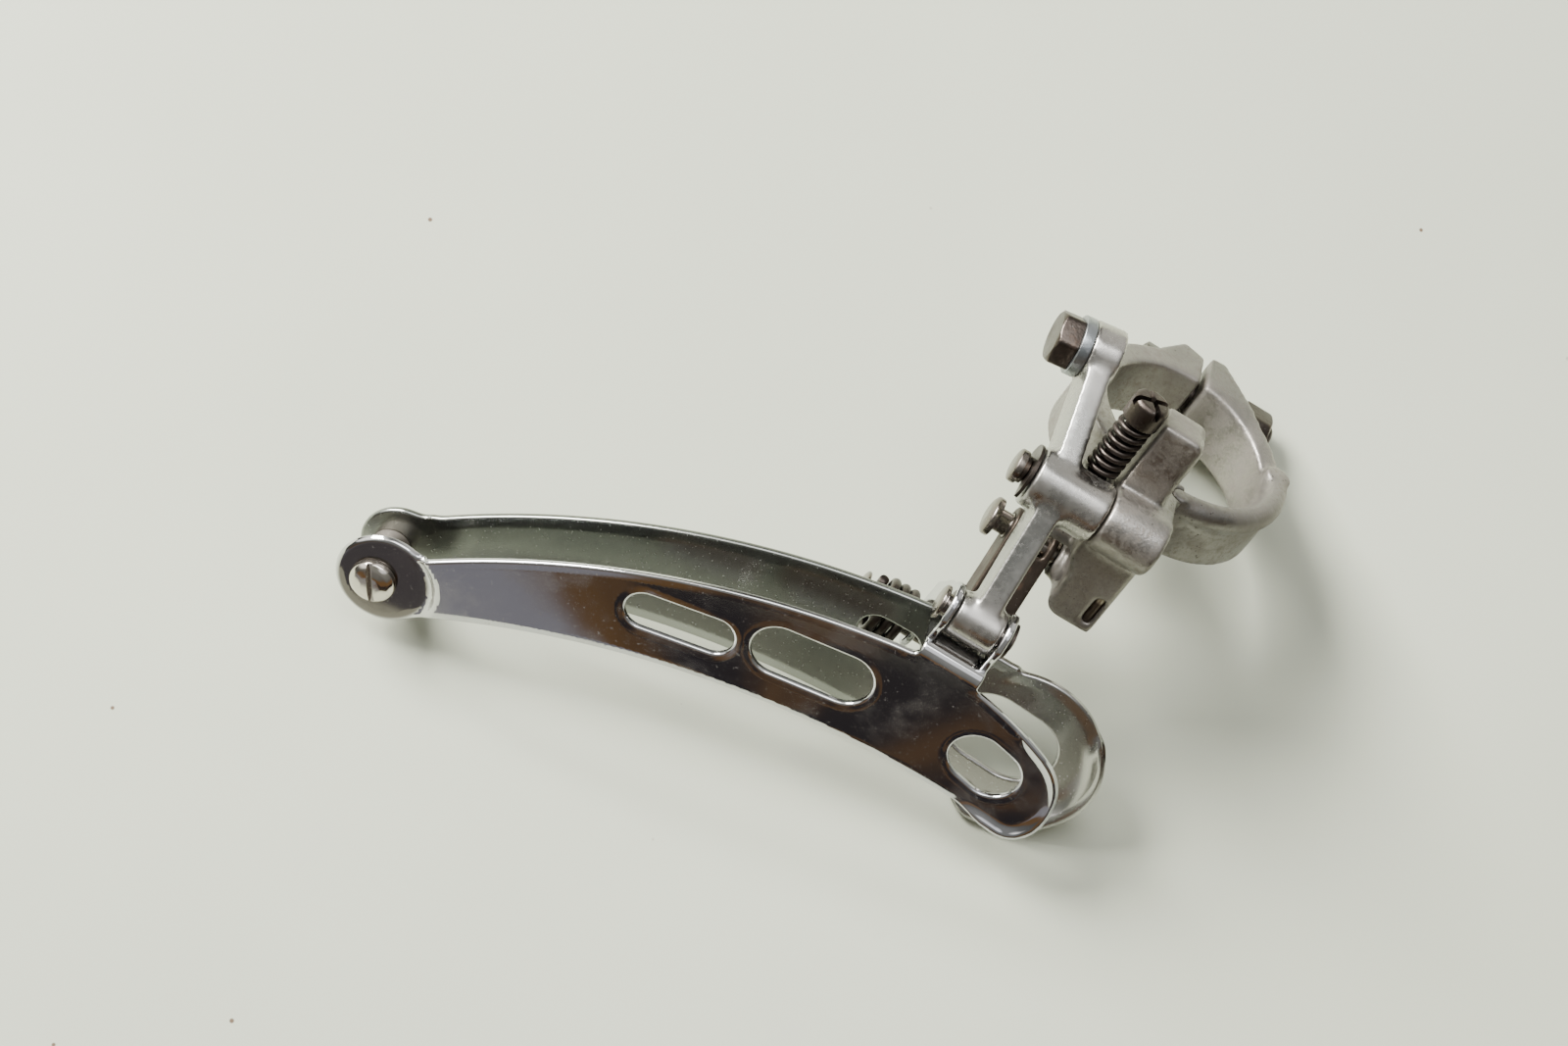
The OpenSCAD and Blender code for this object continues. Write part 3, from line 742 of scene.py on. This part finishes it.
# outer limit screw: castellated head on a plain shank, with its spring
up = Matrix.Rotation(math.radians(-90), 3, "Y")
prof = soft([(-5.2, 0), (-5.2, 1.1), (-4.8, 1.5), (HEAD_Z, 1.5), (HEAD_Z, 2.9), (HEAD_Z + 3.5, 2.9),
             (HEAD_Z + 4, 2.4), (HEAD_Z + 4, 0)], 0.25)
v, f = turned(prof)
limit_screw = mesh_piece("outer_limit_screw_turned", place(v, (LIMIT[0], LIMIT[1], 0), up), f)
spin = Matrix.Rotation(math.radians(25), 3, "Z")
for extra in (0, 90):
    m = spin @ Matrix.Rotation(math.radians(extra), 3, "Z")
    limit_screw = cut_with(limit_screw, block((0.95, 8, 2.6), (LIMIT[0], LIMIT[1], HEAD_Z + 3.9), m))
limit_screw = sharp(limit_screw, 30)
coil = tube([(LIMIT[0] + y, LIMIT[1] + z, SEAT_Z + 0.5 + x) for x, y, z in
             helix(2.2, HEAD_Z - SEAT_Z - 1.0, 7.2)], 0.48)
limit_spring = sharp(mesh_piece("outer_limit_coil", *coil), 60)
v, f = turned(soft([(-16.8, 0), (-16.8, 0.8), (-16.4, 1.0), (-5.4, 1.0), (-5.2, 0.8), (-5.2, 0)], 0.12))
inner_screw = mesh_piece("inner_limit_screw_turned", place(v, (*INNER_LIMIT, 0), up), f)
inner_screw = sharp(inner_screw, 30)

# return spring round the lower pin
along = Vector((Q2[0] - P2[0], Q2[1] - P2[1])).normalized()
side = Vector((-along.y, along.x))
x0 = EAR_REAR[0] - 0.3 - 0.85
back = 1.75 * 3
start_angle = math.atan2(side.y, side.x)
wire = [(x0 - x, Q2[0] + y, Q2[1] + z) for x, y, z in
        helix(COIL_R, back, 3.15, phase=start_angle)]
leg = [(LEG_X + (x0 - LEG_X) * i / 8, Q2[0] + side.x * 4.3, Q2[1] + side.y * 4.3) for i in range(8)]
v, f = tube(leg + wire, WIRE_R)
return_coil = sharp(mesh_piece("return_coil", v, f), 60)

# rear screw and spacer, along Y
flat_y = Matrix.Rotation(math.radians(90), 3, "Z")
face = OUTER_Y + JOGGLE
prof = soft([(face - 2.0, 0), (face - 1.95, 1.6), (face - 1.6, 2.8), (face - 1.0, 3.5), (face - 0.5, 3.6),
             (face, 3.6), (face, 1.6), (INNER_Y + SHEET + 0.8, 1.6), (INNER_Y + SHEET + 0.8, 0)], 0.25)
v, f = turned(prof)
tail_screw = mesh_piece("rear_slotted_screw", place(v, (TAIL[0], 0, TAIL[1]), flat_y), f)
tail_screw = cut_with(tail_screw, block((0.9, 2.2, 9), (TAIL[0], face - 2.0, TAIL[1]),
                                        Matrix.Rotation(math.radians(-29), 3, "Y")))
tail_screw = sharp(tail_screw, 30)
inside = OUTER_Y + JOGGLE + SHEET
prof = soft([(inside, 1.7), (inside, 3.1), (INNER_Y, 3.1), (INNER_Y, 1.7), (inside, 1.7)], 0.3)
v, f = turned(prof)
spacer = sharp(mesh_piece("rear_spacer_tube", place(v, (TAIL[0], 0, TAIL[1]), flat_y), f))


# ---------------------------------------------------------------- materials
def mix_rgb(nt, a, b, factor):
    n = nt.nodes.new("ShaderNodeMix")
    n.data_type = "RGBA"
    for socket, value in (("Factor", factor), (6, a), (7, b)):
        target = n.inputs[socket] if isinstance(socket, int) else n.inputs[0]
        if hasattr(value, "is_output"):
            nt.links.new(value, target)
        elif isinstance(value, (int, float)):
            target.default_value = value
        else:
            target.default_value = (*value, 1) if len(value) == 3 else value
    return n.outputs[2]


def ramp(nt, source, stops):
    n = nt.nodes.new("ShaderNodeMapRange")
    n.interpolation_type = "SMOOTHSTEP"
    n.inputs["From Min"].default_value = stops[0]
    n.inputs["From Max"].default_value = stops[1]
    n.inputs["To Min"].default_value = stops[2]
    n.inputs["To Max"].default_value = stops[3]
    nt.links.new(source, n.inputs["Value"])
    return n.outputs["Result"]


def calc(nt, op, a, b=0.0):
    n = nt.nodes.new("ShaderNodeMath")
    n.operation = op
    for i, value in enumerate((a, b)):
        if hasattr(value, "is_output"):
            nt.links.new(value, n.inputs[i])
        else:
            n.inputs[i].default_value = value
    return n.outputs[0]


def noise(nt, coords, scale, detail=4.0, rough=0.55):
    n = nt.nodes.new("ShaderNodeTexNoise")
    n.inputs["Scale"].default_value = scale
    n.inputs["Detail"].default_value = detail
    n.inputs["Roughness"].default_value = rough
    nt.links.new(coords, n.inputs["Vector"])
    return n.outputs["Fac"]


def metal(name, color, tint, rough, grime=(0.10, 0.08, 0.06), grime_amount=0.5, bump=0.15, grain=900.0,
          pits=0.0, dust=0.12, rough_var=0.15, corner=0.0, rust=0.0, mottle=0.0, shade=None,
          rust_color=(0.24, 0.11, 0.05)):
    """Worn metal: patchy tint, grime patches, darkening in hollows by an ambient-occlusion mask, mottled
    grain, rust, pits, dust specks.

    shade is (point in mm, radius, soft edge, colour) of a ball in which the metal has another colour: on the
    tail disc a painted dark reflection, on the lug screw a painted glint, on the inner plate a lighter nose.
    """
    mat = bpy.data.materials.new(name)
    mat.use_nodes = True
    nt = mat.node_tree
    bsdf = nt.nodes["Principled BSDF"]
    geo = nt.nodes.new("ShaderNodeTexCoord").outputs["Object"]
    patch = noise(nt, geo, 95.0, 5.0, 0.6)
    broad = noise(nt, geo, 34.0, 3.0, 0.5)
    fine = noise(nt, geo, grain, 3.0, 0.6)
    base = mix_rgb(nt, color, tint, ramp(nt, broad, (0.38, 0.62, 0.0, 1.0)))
    darkening = calc(nt, "MULTIPLY", ramp(nt, patch, (0.50, 0.72, 0.0, 1.0)), grime_amount)
    if mottle > 0:
        stain = ramp(nt, noise(nt, geo, 430.0, 6.0, 0.65), (0.44, 0.70, 0.0, mottle))
        darkening = calc(nt, "MAXIMUM", darkening, stain)
        specked = ramp(nt, noise(nt, geo, 1500.0, 3.0, 0.7), (0.50, 0.66, 0.0, mottle * 0.8))
        darkening = calc(nt, "MAXIMUM", darkening, specked)
    # darker in hollows: an ambient-occlusion mask darkens the colour in corners and recesses
    if corner > 0:
        ao = nt.nodes.new("ShaderNodeAmbientOcclusion")
        ao.samples = 4
        ao.inputs["Distance"].default_value = 0.0035
        hollow = ramp(nt, ao.outputs["AO"], (0.25, 0.75, 1.0, 0.0))
        hollow = calc(nt, "MULTIPLY", hollow, ramp(nt, patch, (0.3, 0.6, 0.35, 1.0)))
        darkening = calc(nt, "MAXIMUM", darkening, calc(nt, "MULTIPLY", hollow, corner))
    base = mix_rgb(nt, base, grime, darkening)
    metal_amount = calc(nt, "SUBTRACT", 1.0, calc(nt, "MULTIPLY", darkening, 0.75))
    if shade:
        at, radius, soft, shade_color = shade
        d = nt.nodes.new("ShaderNodeVectorMath")
        d.operation = "DISTANCE"
        nt.links.new(geo, d.inputs[0])
        d.inputs[1].default_value = tuple(c * MM for c in at)
        inside = ramp(nt, d.outputs["Value"], (radius * MM, (radius + soft) * MM, 1.0, 0.0))
        base = mix_rgb(nt, base, shade_color, inside)
    if rust > 0:
        spots = calc(nt, "MULTIPLY", ramp(nt, noise(nt, geo, 260.0, 6.0, 0.7), (0.56, 0.68, 0.0, 1.0)), rust)
        base = mix_rgb(nt, base, rust_color, spots)
        metal_amount = calc(nt, "SUBTRACT", metal_amount, calc(nt, "MULTIPLY", spots, 0.8))
    if pits > 0:
        v = nt.nodes.new("ShaderNodeTexVoronoi")
        v.inputs["Scale"].default_value = 1000.0
        nt.links.new(geo, v.inputs["Vector"])
        hole = ramp(nt, v.outputs["Distance"], (0.08, 0.2, 1.0, 0.0))
        hole = calc(nt, "MULTIPLY", hole, ramp(nt, noise(nt, geo, 150.0), (0.55, 0.62, 0.0, pits)))
        base = mix_rgb(nt, base, (0.05, 0.045, 0.04), hole)
    specks = ramp(nt, noise(nt, geo, 2600.0, 1.0, 0.5), (0.70, 0.76, 0.0, 1.0))
    specks = calc(nt, "MULTIPLY", specks, dust)
    base = mix_rgb(nt, base, (0.62, 0.60, 0.56), specks)
    metal_amount = calc(nt, "SUBTRACT", metal_amount, calc(nt, "MULTIPLY", specks, 0.9))
    worn = calc(nt, "ADD", calc(nt, "MULTIPLY", ramp(nt, patch, (0.35, 0.7, -0.5, 0.5)), rough_var), rough)
    worn = calc(nt, "ADD", worn, calc(nt, "MULTIPLY", darkening, 0.3))
    worn = calc(nt, "ADD", worn, calc(nt, "MULTIPLY", specks, 0.4))
    b = nt.nodes.new("ShaderNodeBump")
    b.inputs["Strength"].default_value = bump
    b.inputs["Distance"].default_value = 0.00012
    nt.links.new(fine, b.inputs["Height"])
    nt.links.new(base, bsdf.inputs["Base Color"])
    nt.links.new(metal_amount, bsdf.inputs["Metallic"])
    nt.links.new(worn, bsdf.inputs["Roughness"])
    nt.links.new(b.outputs["Normal"], bsdf.inputs["Normal"])
    return mat


# the ball round the tail disc is a painted dark reflection: the disc's colour is darkened there
chrome = metal("chrome_plate", (0.62, 0.62, 0.62), (0.55, 0.555, 0.58), 0.055, grime=(0.16, 0.12, 0.09),
               grime_amount=0.10, bump=0.004, dust=0.22, rough_var=0.03,
               shade=((DISC_C[0], OUTER_Y + JOGGLE, DISC_C[1]), 6.6, 0.8, (0.17, 0.155, 0.145)))
satin = metal("satin_plate", (0.27, 0.28, 0.26), (0.22, 0.23, 0.21), 0.25, grime=(0.16, 0.13, 0.10),
              grime_amount=0.0, bump=0.02, grain=1800.0, dust=0.12, rough_var=0.0,
              shade=((2.0, -35.0, -38.0), 14.0, 16.0, (0.46, 0.455, 0.435)))
cast_mat = metal("matte_casting", (0.375, 0.355, 0.325), (0.25, 0.242, 0.225), 0.38,
                 grime=(0.13, 0.105, 0.075), grime_amount=0.45, bump=0.45, grain=2600.0,
                 pits=1.0, dust=0.1, corner=0.85, mottle=0.55)
lever_mat = metal("polished_casting", (0.50, 0.48, 0.445), (0.37, 0.37, 0.345), 0.27,
                  grime=(0.12, 0.105, 0.085), grime_amount=0.2, bump=0.10, grain=2200.0,
                  pits=0.4, dust=0.1, corner=0.55, mottle=0.2)
dark = metal("dark_steel", (0.085, 0.070, 0.060), (0.048, 0.040, 0.034), 0.36, grime=(0.04, 0.03, 0.024),
             grime_amount=0.6, bump=0.5, grain=1700.0, dust=0.2, rust=0.35, rust_color=(0.11, 0.06, 0.035))
spring_mat = metal("spring_steel", (0.085, 0.071, 0.062), (0.045, 0.038, 0.033), 0.34,
                   grime=(0.04, 0.03, 0.024), grime_amount=0.5, bump=0.4, grain=1700.0, dust=0.08,
                   rust=0.3, rust_color=(0.11, 0.06, 0.035))
bright = metal("bright_steel", (0.235, 0.21, 0.185), (0.14, 0.125, 0.11), 0.24, grime_amount=0.5, bump=0.2,
               grain=1700.0, dust=0.15, rust=0.2)
zinc = metal("zinc_plate", (0.36, 0.385, 0.40), (0.25, 0.27, 0.285), 0.36, grime_amount=0.45, bump=0.3,
             grain=1700.0, dust=0.1, corner=0.6, mottle=0.25)
brown = metal("brown_steel", (0.075, 0.060, 0.048), (0.042, 0.034, 0.027), 0.5, grime=(0.04, 0.03, 0.024),
              grime_amount=0.6, bump=0.5, grain=1700.0, dust=0.15, rust=0.5, rust_color=(0.13, 0.07, 0.04))
spacer_mat = metal("turned_steel", (0.40, 0.37, 0.33), (0.28, 0.25, 0.22), 0.32, grime_amount=0.5, bump=0.3,
                   grain=1700.0, dust=0.2, corner=0.7)
# the small bright ball at the top of the window is a painted glint
lug_screw = metal("lug_screw", (0.13, 0.105, 0.085), (0.07, 0.058, 0.048), 0.32, grime_amount=0.2, bump=0.2,
                  shade=((INNER_LIMIT[0], INNER_LIMIT[1] - 1.0, -11.2), 0.6, 0.6, (0.50, 0.45, 0.35)))
nickel = metal("nickel", (0.64, 0.60, 0.53), (0.52, 0.48, 0.43), 0.15, grime_amount=0.3, bump=0.08,
               dust=0.2, corner=0.5)
nut_mat = metal("rusty_nut", (0.12, 0.10, 0.085), (0.065, 0.054, 0.045), 0.38, grime=(0.05, 0.038, 0.03),
                grime_amount=0.6, bump=0.6, grain=1700.0, dust=0.2, rust=0.9, rust_color=(0.19, 0.10, 0.05))

PIECES = [
    (outer_plate, "cage", ["cage_outer_plate"], "chromed_sheet", chrome),
    (rear_ear, "cage", [], "chromed_sheet", chrome),
    (front_ear, "cage", [], "chromed_sheet", chrome),
    (inner_plate, "cage", ["cage_inner_plate"], "chromed_sheet", satin),
    (cage_pin, "cage", ["cage_pivot_pin"], "bright_pin", bright),
    (cage_clip, "cage", ["cage_pivot_clip"], "dark_steel", dark),
    (low_pin, "cage", ["cage_link_pin"], "bright_pin", bright),
    (low_clip, "cage", ["cage_link_clip"], "dark_steel", dark),
    (tail_screw, "cage", ["tail_screw"], "nickel_screw", nickel),
    (spacer, "cage", ["tail_spacer"], "spacer_steel", spacer_mat),
    (rear_half, "clamp", ["clamp_body"], "cast_alloy", cast_mat),
    (front_half, "clamp", ["clamp_front_half"], "cast_alloy", cast_mat),
    (clamp_bolt, "clamp", ["clamp_bolt"], "dark_steel", dark),
    (clamp_nut, "clamp", ["clamp_nut"], "dark_steel", nut_mat),
    (clamp_washers, "clamp", ["clamp_washers"], "dark_steel", dark),
    (upper_pin, "clamp", ["upper_pivot_pin"], "bright_pin", bright),
    (upper_clip, "clamp", ["upper_pivot_clip"], "dark_steel", dark),
    (link_pin, "clamp", ["link_pivot_pin"], "bright_pin", bright),
    (inner_screw, "clamp", ["inner_limit_screw"], "dark_steel", lug_screw),
    (lever, "lever", ["lever"], "polished_alloy", lever_mat),
    (cable_bolt, "lever", ["cable_bolt"], "dark_steel", dark),
    (cable_washer, "lever", ["cable_washer"], "zinc_washer", zinc),
    (limit_screw, "lever", ["outer_limit_screw"], "dark_steel", dark),
    (limit_spring, "lever", ["outer_limit_spring"], "spring_steel", spring_mat),
    (link, "inner_link", ["inner_link"], "brown_steel", brown),
    (return_coil, "inner_link", ["return_spring"], "spring_steel", spring_mat),
]
for piece, body, stands_for, slot, mat in PIECES:
    piece.data.materials.clear()
    piece.data.materials.append(mat)
    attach(piece, body)
    if stands_for:
        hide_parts(*stands_for)
    for n in stands_for:
        nodes[n].data.materials.clear()
        nodes[n].data.materials.append(mat)

# ---------------------------------------------------------------- table, light, camera
rest = []
for piece in (outer_plate, inner_plate, rear_half, front_half, tail_screw):
    co = np.zeros(len(piece.data.vertices) * 3)
    piece.data.vertices.foreach_get("co", co)
    rest.append(co.reshape(-1, 3))
rest = np.vstack(rest)
UP = Vector((-0.185, -0.664, 0.725)).normalized()
for _ in range(40):
    # settle on the lowest points at the tail, the nose and the clamp
    h = rest @ np.array(UP)
    ends = []
    nose = (rest[:, 1] < -33 * MM) & (rest[:, 0] > -10 * MM)
    for zone in (rest[:, 0] < -80 * MM, nose, rest[:, 1] > -20 * MM):
        k = np.where(zone)[0]
        ends.append(Vector(rest[k[h[k].argmin()]]))
    fresh = (ends[1] - ends[0]).cross(ends[2] - ends[0]).normalized()
    if fresh.dot(UP) < 0:
        fresh = -fresh
    if fresh.dot(UP) > 0.9999999:
        break
    UP = (UP + fresh).normalized()
ground = min(float((rest @ np.array(UP)).min()), min(e.dot(UP) for e in ends))

right = Vector((0.85234, 0.21002, 0.47897))
across = (right - UP * right.dot(UP)).normalized()
away = UP.cross(across)
centre = Vector((-0.04, -0.03, -0.03))
centre = centre + UP * (ground - centre.dot(UP) - 0.00005)


def on_table(x, y, z):
    """A point in metres: right and away along the table in the picture, and up from it."""
    return centre + across * x + away * y + UP * z


table_mesh = bpy.data.meshes.new("table_top")
S = 3.0
corners = ((-S, -S), (S, -S), (S, S), (-S, S))
table_mesh.from_pydata([tuple(on_table(x, y, 0)) for x, y in corners], [], [(0, 1, 2, 3)])
table = bpy.data.objects.new("table_top", table_mesh)
bpy.context.scene.collection.objects.link(table)
tm = bpy.data.materials.new("table_laminate")
tm.use_nodes = True
nt = tm.node_tree
bsdf = nt.nodes["Principled BSDF"]
out = nt.nodes["Material Output"]
coords = nt.nodes.new("ShaderNodeTexCoord").outputs["Object"]
clouds = ramp(nt, noise(nt, coords, 9.0, 3.0), (0.35, 0.65, 0, 1))
tone = mix_rgb(nt, (0.627, 0.663, 0.527), (0.596, 0.631, 0.501), clouds)
blotch = ramp(nt, noise(nt, coords, 70.0, 5.0, 0.6), (0.62, 0.85, 0.0, 0.25))
tone = mix_rgb(nt, tone, (0.60, 0.585, 0.54), blotch)
v = nt.nodes.new("ShaderNodeTexVoronoi")
v.inputs["Scale"].default_value = 75.0
nt.links.new(coords, v.inputs["Vector"])
crumb = ramp(nt, v.outputs["Distance"], (0.018, 0.035, 1.0, 0.0))
crumb = calc(nt, "MULTIPLY", crumb, ramp(nt, noise(nt, coords, 22.0, 2.0), (0.52, 0.60, 0.0, 1.0)))
tone = mix_rgb(nt, tone, (0.16, 0.11, 0.07), crumb)
nt.links.new(tone, bsdf.inputs["Base Color"])
bsdf.inputs["Roughness"].default_value = 0.62
bsdf.inputs["Specular IOR Level"].default_value = 0.25
clear = nt.nodes.new("ShaderNodeBsdfTransparent")
geo = nt.nodes.new("ShaderNodeNewGeometry")
pick = nt.nodes.new("ShaderNodeMixShader")
nt.links.new(geo.outputs["Backfacing"], pick.inputs[0])
nt.links.new(bsdf.outputs[0], pick.inputs[1])
nt.links.new(clear.outputs[0], pick.inputs[2])
nt.links.new(pick.outputs[0], out.inputs["Surface"])
table_mesh.materials.append(tm)
table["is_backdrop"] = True

world = bpy.data.worlds.new("room")
bpy.context.scene.world = world
world.use_nodes = True
bg = world.node_tree.nodes["Background"]
bg.inputs["Color"].default_value = (0.84, 0.78, 0.735, 1)
bg.inputs["Strength"].default_value = 0.26


def lamp(name, at, toward, size, power, color=(1, 1, 1), size_y=None):
    data = bpy.data.lights.new(name, "AREA")
    data.shape = "RECTANGLE"
    data.size = size
    data.size_y = size_y or size
    data.energy = power
    data.color = color
    o = bpy.data.objects.new(name, data)
    bpy.context.scene.collection.objects.link(o)
    o.location = at
    o.rotation_euler = (Vector(toward) - Vector(at)).to_track_quat("-Z", "Y").to_euler()
    return o


lamp("window", on_table(-0.58, 0.62, 0.76), centre, 0.6, 42.0, (1.0, 0.985, 0.96), 0.45)
lamp("ceiling", on_table(0.15, 0.25, 1.3), centre, 0.9, 9.0, (0.97, 0.98, 1.0), 0.6)


def for_polish_only(o, build):
    """Stages a glowing part of the room which nothing but a reflection shows."""
    m = bpy.data.materials.new(o.name)
    m.use_nodes = True
    t = m.node_tree
    t.nodes.remove(t.nodes["Principled BSDF"])
    e = t.nodes.new("ShaderNodeEmission")
    color = build(t)
    if isinstance(color, tuple):
        e.inputs["Color"].default_value = (*color, 1)
    else:
        t.links.new(color, e.inputs["Color"])
    t.links.new(e.outputs[0], t.nodes["Material Output"].inputs["Surface"])
    o.data.materials.append(m)
    o.visible_camera = False
    o.visible_diffuse = False
    o.visible_shadow = False
    o.visible_transmission = False
    o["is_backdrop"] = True


def dark_stretch(t, direction):
    """The near-black stretch of the near side, with brown patches."""
    patches = ramp(t, noise(t, direction, 17.0, 2.0, 0.5), (0.56, 0.65, 0.0, 0.65))
    return mix_rgb(t, (0.034, 0.030, 0.032), (0.16, 0.092, 0.045), patches)


def room_colors(t):
    """Brightness by direction: x across, y away, z up from the table."""
    at = t.nodes.new("ShaderNodeTexCoord").outputs["Object"]
    unit = t.nodes.new("ShaderNodeVectorMath")
    unit.operation = "NORMALIZE"
    t.links.new(at, unit.inputs[0])
    split = t.nodes.new("ShaderNodeSeparateXYZ")
    t.links.new(unit.outputs[0], split.inputs[0])
    x, y, z = split.outputs

    def glow(color, toward, wide, narrow):
        d = t.nodes.new("ShaderNodeVectorMath")
        d.operation = "DOT_PRODUCT"
        t.links.new(unit.outputs[0], d.inputs[0])
        d.inputs[1].default_value = Vector(toward).normalized()
        edge, core = math.cos(math.radians(wide)), math.cos(math.radians(narrow))
        return ramp(t, d.outputs["Value"], (edge, core, 0, 1)), color

    color = mix_rgb(t, (0.10, 0.098, 0.092), (0.30, 0.30, 0.285), ramp(t, z, (0.1, 0.95, 0, 1)))
    for amount, shade in (glow((2.2, 2.15, 2.05), (-0.62, 0.42, 0.66), 38, 18),
                          glow((1.3, 1.32, 1.35), (0.35, -0.1, 0.93), 24, 12),
                          glow((0.75, 0.74, 0.70), (0.7, 0.6, 0.38), 40, 20)):
        color = mix_rgb(t, color, shade, amount)
    near = mix_rgb(t, (0.30, 0.29, 0.31), (0.16, 0.09, 0.04), ramp(t, x, (-0.42, -0.395, 0, 1)))
    near = mix_rgb(t, near, dark_stretch(t, unit.outputs[0]), ramp(t, x, (-0.385, -0.36, 0, 1)))
    near = mix_rgb(t, near, (0.20, 0.115, 0.055), ramp(t, z, (0.10, 0.17, 0, 1)))
    low = calc(t, "MULTIPLY", ramp(t, y, (-0.5, -0.25, 1, 0)), ramp(t, z, (0.30, 0.42, 1, 0)))
    return mix_rgb(t, color, near, low)


turn = Matrix((across, away, UP)).transposed().to_4x4()
bm = bmesh.new()
bmesh.ops.create_uvsphere(bm, u_segments=32, v_segments=16, radius=2.6)
mesh = bpy.data.meshes.new("room_shell")
bm.to_mesh(mesh)
bm.free()
shell = bpy.data.objects.new("room_shell", mesh)
bpy.context.scene.collection.objects.link(shell)
shell.matrix_world = Matrix.Translation(centre) @ turn
for_polish_only(shell, room_colors)
mesh = bpy.data.meshes.new("near_side_floor")
corners = ((-1.6, -2.0), (1.6, -2.0), (1.6, -0.13), (-1.6, -0.13))
mesh.from_pydata([(x, y, 0.0005) for x, y in corners], [], [(0, 1, 2, 3)])
near_floor = bpy.data.objects.new("near_side_floor", mesh)
bpy.context.scene.collection.objects.link(near_floor)
near_floor.matrix_world = Matrix.Translation(centre) @ turn


def floor_colors(t):
    """The same dark, brown and lilac stretches as the room's near side."""
    split = t.nodes.new("ShaderNodeSeparateXYZ")
    at = t.nodes.new("ShaderNodeTexCoord").outputs["Object"]
    unit = t.nodes.new("ShaderNodeVectorMath")
    unit.operation = "NORMALIZE"
    t.links.new(at, unit.inputs[0])
    t.links.new(at, split.inputs[0])
    slope = calc(t, "DIVIDE", split.outputs[0], calc(t, "MULTIPLY", split.outputs[1], -1.0))
    color = mix_rgb(t, (0.30, 0.29, 0.31), (0.16, 0.09, 0.04), ramp(t, slope, (-0.52, -0.48, 0, 1)))
    return mix_rgb(t, color, dark_stretch(t, unit.outputs[0]), ramp(t, slope, (-0.47, -0.42, 0, 1)))


for_polish_only(near_floor, floor_colors)

# The camera solved from the photo: its place, its axes, and its focal length over the picture's width.
eye = Vector((-106.07, -414.95, 248.05)) * MM
FOCAL = 3294 / 1600
fwd = Vector((0.12466, 0.80785, -0.57606))
down = Vector((0.50792, -0.55070, -0.66238))
cam_data = bpy.data.cameras.new("photo_view")
cam_data.sensor_width = 36
cam_data.lens = FOCAL * cam_data.sensor_width
cam_data.sensor_fit = "HORIZONTAL"
cam_data.clip_start = 0.01
cam = bpy.data.objects.new("photo_view", cam_data)
bpy.context.scene.collection.objects.link(cam)
cam.matrix_world = Matrix.Translation(eye) @ Matrix((right, -down, -fwd)).transposed().to_4x4()
bpy.context.scene.camera = cam

sizes["end"] = as_lists(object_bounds())
